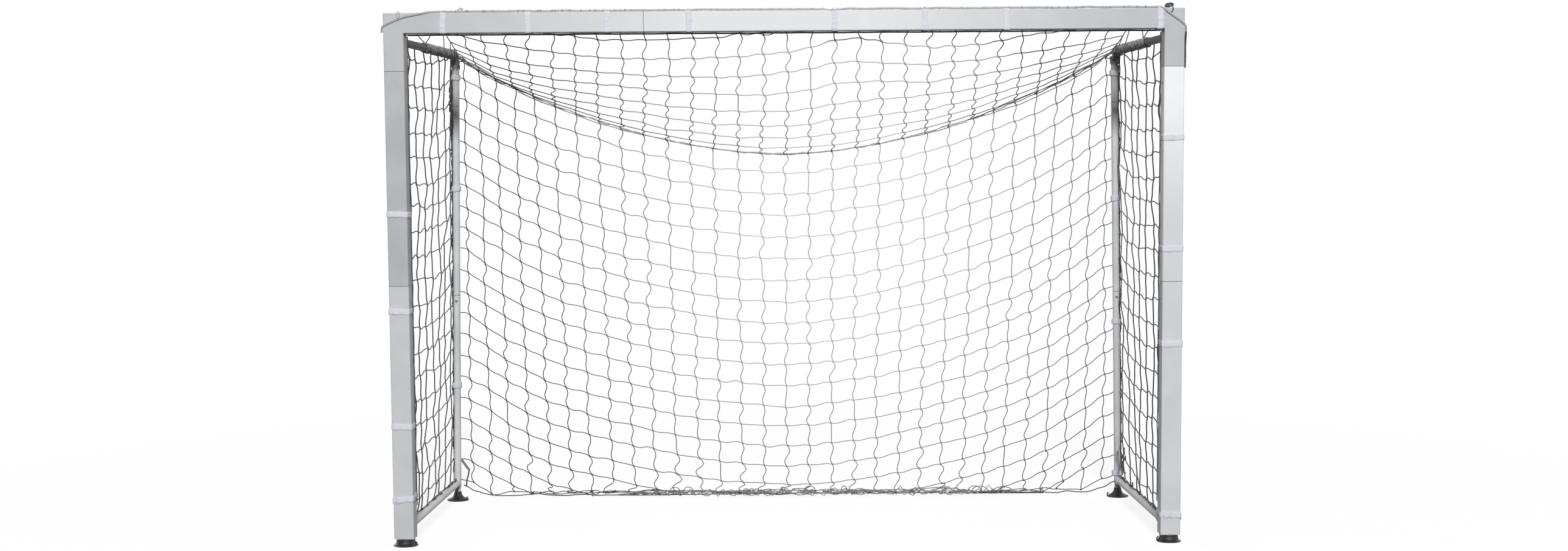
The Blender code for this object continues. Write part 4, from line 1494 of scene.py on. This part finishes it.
    def build_ridge(self, net: Net) -> None:
        """Build the ridge rope: dark at both ends and a thin pale pair between.

        Args:
            net: The net whose ridge it follows.
        """
        parts = MeshParts()
        reach = self.frame.rear_x(self.frame.ridge_end) - 0.004
        for side, start, thick, apart in (
            (Side.LEFT, self.dark_from, self.ridge_dark, 0.007),
            (Side.RIGHT, self.split_from, self.ridge_dark * 0.62, 0.013),
        ):
            x = np.linspace(start, reach, 24)
            y, z = net.ridge(x)
            rise = 0.018 * smooth_step((x - 1.40) / 0.07)
            open_up = apart * np.sin(np.pi * (x - start) / (reach - start)) ** 0.8
            for way, radius in ((0.6, thick), (-1.2, self.ridge_dark * 0.55)):
                sway = 0.0015 * wander(self.rng, x, 0.3, 1)[0]
                height = z + rise + way * open_up + sway
                lay_rope(parts, xyz(x * side.value, y - way * 0.008, height), radius)
        self.finish("ridge_rope_ends", parts, ROPE_DARK)
        parts = MeshParts()
        x = np.linspace(-self.dark_from, self.split_from, 90)
        y, z = net.ridge(x)
        apart = 1 - smooth_step((0.75 - np.abs(x)) / 0.3)
        for lift, back in ((0.0015, 0.0), (-0.007, 0.004)):
            sway = 0.0012 * wander(self.rng, x, 0.35, 1)[0]
            path = xyz(x, y + back * apart, z + lift * apart + sway)
            sweep(parts, smooth_path(path, 3), self.ridge_pale, 6)
        self.finish("ridge_rope_middle", parts, ROPE_PALE)
        self.build_wraps(net)

    def build_wraps(self, net: Net, count: int = 7) -> None:
        """Build the short wraps of twine on the ridge rope's right end.

        Args:
            net: The net whose ridge they sit on.
            count: How many.
        """
        parts = MeshParts()
        places = self.rng.uniform(0.80, 1.38, (count, 1))
        length = self.rng.uniform(0.004, 0.009, (count, 1))
        x = places + length * np.array([-1.0, -0.7, 0.0, 0.7, 1.0])
        y, z = net.ridge(x)
        z = z + self.rng.uniform(-0.012, 0.006, (count, 1))
        sweep(parts, xyz(x, y - 0.003, z), millimetres((1.0, 2.2, 2.6, 2.2, 1.0)), 7)
        self.finish("ridge_rope_wraps", parts, NET_TWINE)

    def build_hem(self) -> None:
        """Build the rope along the back panel's hem, on the floor but for its ends."""
        hem = np.array((0.0, self.frame.hem_y, 0.0))
        x = np.linspace(-1.34, 1.38, 60)
        sway = wander(self.rng, x, 0.42, 2)
        middle = xyz(x, 0.008 + 0.012 * sway[0], self.hem + 0.004 + 0.003 * np.abs(sway[1]))
        ends = millimetres(self.HEM_END)
        left, right = ends * np.array((-1, 1, 1)), ends[::-1] + np.array((0.012, 0, 0))
        parts = MeshParts()
        lay_rope(parts, np.concatenate([left, middle, right]) + hem, self.hem)
        self.finish("hem_rope", parts, HEM_ROPE)

    def build_heap(self, net: Net, strands: int = 3, loops: int = 15) -> None:
        """Build the slack net that lies along the hem, with loops standing up.

        Args:
            net: The net that it belongs to.
            strands: How many strands lie along the hem.
            loops: How many loops stand up.
        """
        draw, behind = self.rng.uniform, self.frame.hem_y
        parts = MeshParts()
        x = np.linspace(-0.78, 1.18, 150)
        begin, stop = draw(-0.80, -0.40, (strands, 1)), draw(0.85, 1.20, (strands, 1))
        lift = smooth_step((x - begin) / 0.25) * smooth_step((stop - x) / 0.25)
        sway = wander(self.rng, x, 0.22, strands)
        rise = np.abs(wander(self.rng, x, 0.16, strands))
        spread = np.linspace(-0.052, 0.026, strands)[:, None]
        y = behind + 0.010 + (spread - 0.010 + 0.010 * sway) * lift
        z = 0.005 + (0.003 + 0.013 * rise) * lift
        sweep(parts, xyz(x, np.minimum(y, behind + self.heap_depth), z), net.twine)
        t = np.linspace(0, 1, 15)[None]
        ranges = ((-0.76, 1.14), (0.012, 0.045), (0.016, 0.040), (-0.03, 0.03), (-0.045, 0.030))
        middle, width, height, lean, depth = (draw(*ends, (loops, 1)) for ends in ranges)
        y = np.minimum(depth + behind + 0.012 * np.sin(3 * t + lean * 90), behind + self.heap_depth)
        x = middle + width * np.cos(np.pi * t) + lean * t
        sweep(parts, xyz(x, y, 0.008 + height * np.sin(np.pi * t)), net.twine)
        self.finish("hem_heap", parts, HEAP_TWINE)

    def bar_path(self, side: Side, start: float, end_z: float) -> Array:
        """Trace a top side bar's axis from a depth, round its bend and down.

        Args:
            side: Which side.
            start: Depth at which the path starts.
            end_z: Height at which it ends.

        Returns:
            The path's points.
        """
        frame, bend = self.frame, self.bend
        turn = np.linspace(0, np.pi / 2, 14)[1:]
        level = np.linspace(start, frame.rear - bend, 40)
        down = np.linspace(frame.top_bar - bend, end_z, 12)[1:]
        y = np.concatenate([level, frame.rear - bend + bend * np.sin(turn), 0 * down + frame.rear])
        arc = frame.top_bar - bend + bend * np.cos(turn)
        z = np.concatenate([0 * level + frame.top_bar, arc, down])
        return resampled(xyz(frame.side_bar_x(y, z) * side.value, y, z), 0.004)

    def build_top_bar(self, side: Side) -> None:
        """Build the net wound round a top side bar, and its dark bundle.

        Args:
            side: Which side.
        """
        frame = self.frame
        path = self.bar_path(side, -0.13 if side is Side.LEFT else -0.18, frame.ridge_end)
        path = path[path[:, 2] > frame.top_bar - 0.055]
        along = distance_along(path)
        wound = (0.0, 0.06, 0.12, 0.36, 0.44, 0.52, 0.76, 0.83)
        for name, finish, phases, thick, pitch in (
            ("twine", WOUND_TWINE, wound, 0.0023, 0.102),
            ("bundle", ROPE_DARK, (0.28, 0.70), 0.0021, 0.126),
        ):
            sway = wander(self.rng, along, 0.16, len(phases))
            lift = np.abs(wander(self.rng, along, 0.11, len(phases)))
            reach = frame.tube + thick * 0.6 + 0.0020 * lift
            turns = np.array(phases)[:, None] + 0.05 * sway
            lines = [coiled(path, out, pitch, turn) for out, turn in zip(reach, turns)]
            parts = MeshParts()
            sweep(parts, np.stack(lines), thick, 6)
            self.finish(f"top_bar_{name}_{side.word}", parts, finish)

    def build_upright(self, side: Side) -> None:
        """Build the dark rope twisted down the outer side of a rear upright.

        Args:
            side: Which side.
        """
        frame = self.frame
        parts = MeshParts()
        z = np.linspace(0.13, frame.ridge_end - 0.04, 90)
        sway = wander(self.rng, z, 0.22, 2)
        radius = 0.0034 if side is Side.LEFT else 0.0028
        x = (frame.rear_x(z) + frame.tube + radius * 0.9 + 0.0022 * sway[0]) * side.value
        middle = xyz(x, frame.rear - 0.003 + 0.006 * sway[1], z)
        lay_rope(parts, middle, radius, 0.05)
        if side is Side.LEFT:
            lumps = resampled(middle[(z > 1.66) & (z < 1.93)], 0.004)
            swell = 0.0040 + 0.0050 * np.sin(np.linspace(0, np.pi, len(lumps)))
            for phase in (0.0, 0.34, 0.67):
                sweep(parts, coiled(lumps, swell, 0.09, phase), 0.0042, 6)
        self.finish(f"upright_rope_{side.word}", parts, ROPE_DARK)

    def build_low_bar(self, side: Side, loops: int = 22) -> None:
        """Build the net's edge wound along the top of a low side bar.

        Args:
            side: Which side.
            loops: How many loops stand up.
        """
        frame, draw = self.frame, self.rng.uniform
        parts = MeshParts()
        front = frame.back + (0.02 if side is Side.RIGHT else 0.16)
        y = np.linspace(front, frame.rear - 0.03, 70)
        sway = wander(self.rng, y, 0.30, 3)
        lean = 0.45 + 0.16 * sway[0]
        reach = frame.tube + 0.0030 + 0.0012 * np.abs(sway[1])
        x = (frame.side_bar_x(y, frame.low_bar) + reach * np.sin(lean)) * side.value
        lay_rope(parts, xyz(x, y, frame.low_bar + reach * np.cos(lean)), 0.0030, 0.035)
        t = np.linspace(0, 1, 13)[None]
        span = (front + 0.02, frame.rear - 0.05)
        ranges = (span, (0.008, 0.026), (0.004, 0.016), (-0.003, 0.009))
        middle, width, height, out = (draw(*ends, (loops, 1)) for ends in ranges)
        y = middle + width * np.cos(np.pi * t * 1.1)
        x = (frame.side_bar_x(y, frame.low_bar) + out) * side.value
        z = frame.low_bar + frame.tube + height * np.sin(np.pi * t)
        sweep(parts, xyz(x, y, z), 0.0017)
        self.finish(f"low_bar_net_{side.word}", parts, ROPE_DARK)

    def build_corner_cord(self, side: Side, net: Net) -> None:
        """Build the knotted cord in a rear bottom corner of the net.

        Args:
            side: Which side.
            net: The net that it belongs to.
        """
        parts = MeshParts()
        if side is Side.LEFT:
            behind = np.array((0.0, net.back_plane + 0.004, 0.0))
            band = millimetres(((-1497, 0, 186), (-1478, 0, 158), (-1459, 0, 132))) + behind
            for shift in (0.0, 0.005):
                sweep(parts, smooth_path(band + np.array((shift, 0.0, shift * 0.6))), 0.0024, 6)
            cord = ((-1459, 0, 134), (-1463, 0, 112), (-1470, 0, 86), (-1472, 0, 62))
            lay_rope(parts, millimetres(cord) + behind, 0.0036, 0.014, 2)
        else:
            place = self.frame.side_bar_x(0.42, 0.2) - 0.006
            cord = (
                (0, 440, 250), (-4, 400, 225), (3, 360, 200),
                (-3, 370, 178), (0, 350, 150), (2, 310, 144),
            )
            lay_rope(parts, millimetres(cord) + np.array((place, 0.0, 0.0)), 0.0042, 0.022)
            turn = np.linspace(0, 2 * np.pi, 17)
            for y, z, size in ((0.38, 0.232, 0.016), (0.345, 0.206, 0.011), (0.137, 0.118, 0.012)):
                ring = xyz(place + 0.008, y + size * np.cos(turn), z + size * np.sin(turn))
                sweep(parts, ring, 0.0018, 6)
        self.finish(f"corner_cord_{side.word}", parts, ROPE_DARK)


@dataclass(frozen=True)
class Wrap:
    """How one strap lies round its tube."""

    middle: Place
    axis: int
    half: tuple[float, float]
    corner: float
    width: float
    start: float = 0.55
    tilt: float = 0.0
    sway: float = 0.0009
    bulge: float = 0.0007
    tail: float = 0.0

    def outline(self) -> Array:
        """Trace the tape's inner face once round the tube.

        It is a rectangle with round corners: four quarter circles whose
        centres stand in from the corners by their radius.

        Returns:
            Points in the plane across the tube, the first repeated at the end.
        """
        quarter = np.arange(4)[:, None] * np.pi / 2
        angle = quarter + np.linspace(0, np.pi / 2, 9)[None]
        eighth = quarter + np.pi / 4
        centre = np.sign(np.stack([np.cos(eighth), np.sin(eighth)], -1))
        centre = centre * (np.array(self.half) - self.corner)
        ring = centre + self.corner * np.stack([np.cos(angle), np.sin(angle)], -1)
        ring = ring.reshape(-1, 2)
        return np.concatenate([ring, ring[:1]])


@dataclass
class Straps(Made):
    """Hook-and-loop straps that hold the net to the tubes."""

    nodes: dict
    thick: float = 0.0014
    overlap: float = 0.030
    net_under_strap: float = 0.0032
    step: float = 0.0030
    corner: float = 0.004

    SEED = Made.SEED + 2
    SPECIAL = {
        "strap_post_left_4": {"tilt": 0.006, "sway": 0.0022, "bulge": 0.0016},
        "strap_post_right_4": {"tilt": -0.004, "sway": 0.0030, "bulge": 0.0018},
        "strap_post_right_2": {"tilt": 0.003},
        "strap_post_left_1": {"tilt": -0.002},
        "strap_crossbar_1": {"tilt": 0.002, "tail": 0.010},
        "strap_crossbar_2": {"tail": 0.014},
        "strap_crossbar_7": {"tail": 0.012},
        "strap_low_bar_left": {"tilt": 0.007, "sway": 0.002, "bulge": 0.0015},
    }

    def build(self) -> None:
        """Build a strap for each CAD strap, and the ones that the CAD leaves out."""
        for name in sorted(self.nodes):
            if name.startswith("strap_"):
                self.build_strap(f"{name}_tape", self.fitted(name), (name,))
        frame = self.frame
        half = (frame.bar_high - frame.bar_low) / 2 + 0.0005
        middle = ((frame.front + frame.back) / 2, (frame.bar_low + frame.bar_high) / 2)
        place = (frame.post_in - 0.014, *middle)
        look = {"start": 0.60, "tilt": 0.002, "sway": 0.0012, "bulge": 0.0010, "tail": 0.014}
        wrap = Wrap(place, 0, (half, half), self.corner, 0.024, **look)
        self.build_strap("strap_crossbar_8_tape", wrap)
        half = frame.tube + 0.0008
        for name, y, tilt in (
            ("front", frame.back + 0.022, -0.008),
            ("rear", frame.rear - 0.075, 0.020),
        ):
            place = (frame.side_bar_x(y, frame.low_bar), y, frame.low_bar)
            look = {"start": 0.3, "tilt": tilt, "sway": 0.002, "bulge": 0.0016}
            wrap = Wrap(place, 1, (half, half), half, 0.012, **look)
            self.build_strap(f"strap_low_bar_right_{name}_tape", wrap)

    def fitted(self, name: str) -> Wrap:
        """Work out a strap's wrap from its CAD solid.

        Args:
            name: The CAD node.

        Returns:
            The wrap.
        """
        lo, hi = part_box(name)
        size, middle = hi - lo, (lo + hi) / 2
        axis = 0 if "crossbar" in name else 1 if "bar" in name else 2
        flat = [size[i] / 2 - 0.0013 for i in range(3) if i != axis]
        square = "crossbar" in name or "post" in name
        corner = self.corner if square else min(flat)
        half = (flat[0], flat[1]) if square else (corner, corner)
        if name == "strap_rear_right_4":
            half = (corner + 0.0075, corner + 0.001)
            corner = corner - 0.002
        elif "rear" in name:
            half = (corner + self.net_under_strap, corner + 0.001)
        special = dict(self.SPECIAL.get(name, {}))
        special.setdefault("tilt", float(0.0012 * self.rng.standard_normal()))
        return Wrap(tuple(middle), axis, half, corner, size[axis] * 0.94, **special)

    def build_strap(self, name: str, wrap: Wrap, replaced: tuple[str, ...] = ()) -> None:
        """Build one strap: once round its tube, over its own start, and a short tail.

        The tape's inner face follows the wrap's outline, lifted by small
        ripples and, past one turn, by its own thickness.

        Args:
            name: The piece's name.
            wrap: How it lies.
            replaced: The CAD node that it stands for, if any.
        """
        ring = wrap.outline()
        length = distance_along(ring)
        total = length[-1]
        s = np.arange(0, total + self.overlap, self.step)
        around = (s + wrap.start * total) % total
        place, ahead = (
            np.stack([np.interp(at, length, line) for line in ring.T], -1)
            for at in (around, (around + 0.001) % total)
        )
        tangent = unit(ahead - place)
        out = np.stack([tangent[:, 1], -tangent[:, 0]], -1)
        ripple = wander(self.rng, s, 0.07, 2)
        over = self.thick * 1.15 * smooth_step((s - total + 0.008) / 0.008)
        shift = wrap.sway * ripple[1] + wrap.tilt * np.cos(2 * np.pi * around / total)
        place = place + out * (wrap.bulge * np.abs(ripple[0]) + over)[:, None]
        if wrap.tail > 0:
            t = np.linspace(0, wrap.tail, 8)[1:, None]
            place = np.concatenate([place, place[-1] + tangent[-1] * t + out[-1] * t * t * 6])
            out, shift = np.pad(out, ((0, 7), (0, 0)), "edge"), np.pad(shift, (0, 7), "edge")
        basis = np.eye(3)
        plane = [i for i in range(3) if i != wrap.axis]
        path = place @ basis[plane] + shift[:, None] * basis[wrap.axis] + np.array(wrap.middle)
        across = np.broadcast_to(basis[wrap.axis], path.shape)
        parts = MeshParts()
        flat_sweep(parts, path, across, out @ basis[plane], wrap.width, self.thick)
        self.finish(name, parts, TAPE, "strap_fabric", replaced)


@dataclass
class Feet(Made):
    """Suction feet of black rubber, under the front and the rear uprights.

    Each profile is radius and height in millimetres, from the top down to the
    cup, which both kinds share.
    """

    tab_height: float = 0.0135
    tab_width: float = 0.011
    tab_thick: float = 0.0042

    CUP = (
        (49.4, 3.0), (49.0, 1.2), (47.2, 0.0), (44.0, 0.4), (36.0, 2.2), (20.0, 3.8), (0.0, 4.2),
    )
    PROFILES = {
        "front": (
            (0.0, 51.8), (8.5, 51.8), (9.7, 50.5), (9.7, 32.2), (33.0, 32.0), (36.2, 30.8),
            (37.4, 27.8), (37.2, 23.0), (37.6, 18.0), (39.0, 13.5), (42.4, 8.8), (47.0, 5.8),
            (49.0, 4.4), *CUP,
        ),
        "rear": (
            (0.0, 26.8), (13.6, 26.8), (13.6, 40.2), (14.6, 40.9), (16.0, 40.6), (16.5, 39.2),
            (16.7, 35.0), (17.6, 31.0), (19.6, 25.8), (22.6, 20.8), (27.0, 15.8), (33.0, 11.4),
            (40.0, 7.8), (46.2, 5.8), (48.6, 4.6), *CUP,
        ),
    }

    def build(self) -> None:
        """Build all four feet."""
        for side in Side:
            for place, profile in self.PROFILES.items():
                self.build_foot(f"foot_{place}_{side.word}", profile, side)

    def build_foot(self, node: str, profile: tuple, side: Side) -> None:
        """Turn a foot's profile and stand its pull tab on the rim.

        Args:
            node: The CAD foot that it stands for.
            profile: Radius and height of the profile's points.
            side: Which side.
        """
        parts = MeshParts()
        lo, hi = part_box(node)
        centre = np.array(((lo.x + hi.x) / 2, (lo.y + hi.y) / 2, 0.0))
        smooth = smooth_path(millimetres(profile), 3)
        smooth[:, 0] = np.clip(smooth[:, 0], 0.0001, None)
        turned(parts, smooth, centre, np.eye(3), 48)
        rise = np.linspace(0, 1, 9)
        reach = 0.0425 + 0.0035 * np.sin(rise * np.pi * 0.9) - 0.004 * rise**3
        path = centre + xyz(-side.value * reach, 0.0, 0.0045 + self.tab_height * rise)
        across = np.broadcast_to([0.0, 1.0, 0.0], path.shape)
        out = np.cross(unit(np.gradient(path, axis=0)), across)
        flat_sweep(parts, path, across, out, self.tab_width, self.tab_thick)
        self.finish(f"{node}_rubber", parts, RUBBER, "black_rubber", (node,))


@dataclass
class Fittings(Made):
    """Rivets on the posts' inner faces and the bright rims of the button holes."""

    nodes: dict
    rivet: float = 0.0026
    rim: float = 0.0009

    RIVET_ROWS = (67, 18, -12, -63)
    DOME = ((0.1, 0.9), (0.55, 0.8), (0.85, 0.5), (1.0, 0.1), (1.0, -0.6), (0.1, -0.6))

    def build(self) -> None:
        """Build the rivets and the rims."""
        frame = self.frame
        parts = MeshParts()
        dome = np.array(self.DOME) * (self.rivet, 0.001)
        middle = (frame.front + frame.back) / 2
        out, first, second = np.eye(3)
        for side in Side:
            for rise in millimetres(self.RIVET_ROWS):
                place = (side.value * frame.post_in, middle + 0.002, frame.post_seam + rise)
                turned(parts, dome, place, (first, second, -side.value * out), 14)
        self.finish("post_rivets", parts, STEEL, "steel_button")
        parts = MeshParts()
        for name in sorted(self.nodes):
            if name.startswith("button_"):
                self.add_rim(parts, name)
        self.finish("button_rims", parts, STEEL, "steel_button")

    def add_rim(self, parts: MeshParts, name: str) -> None:
        """Lay a thin bright rim round one button's hole.

        Args:
            parts: Where the surface goes.
            name: The button's node.
        """
        lo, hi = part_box(name)
        size, middle = hi - lo, (lo + hi) / 2
        axis = int(np.argmin(size))
        radius = max(size) / 2 - 0.0022
        side = math.copysign(1, middle.x)
        faces = (self.frame.post_in * side, lo.y + 0.0030, self.frame.bar_low)
        place = np.array(middle)
        place[axis] = faces[axis]
        turn = np.linspace(0, 2 * np.pi, 25)[:, None]
        one, two = (np.eye(3)[i] for i in range(3) if i != axis)
        sweep(parts, place + radius * (np.cos(turn) * one + np.sin(turn) * two), self.rim, 6)


def main() -> None:
    """Build the goal's finished look, piece by piece."""
    logging.basicConfig(level=logging.INFO, format="%(message)s")
    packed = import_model()
    bpy.context.scene.view_settings.view_transform = "Standard"
    frame = Frame.read()
    finishes = Finishes()
    Studio().build()
    nodes = packed["nodes"]
    Tubes(frame, finishes, nodes).dress()
    net = Net(frame, finishes)
    net.build()
    Ropes(frame, finishes).build(net)
    Straps(frame, finishes, nodes).build()
    Feet(frame, finishes).build()
    Fittings(frame, finishes, nodes).build()


if __name__ == "__main__":
    main()
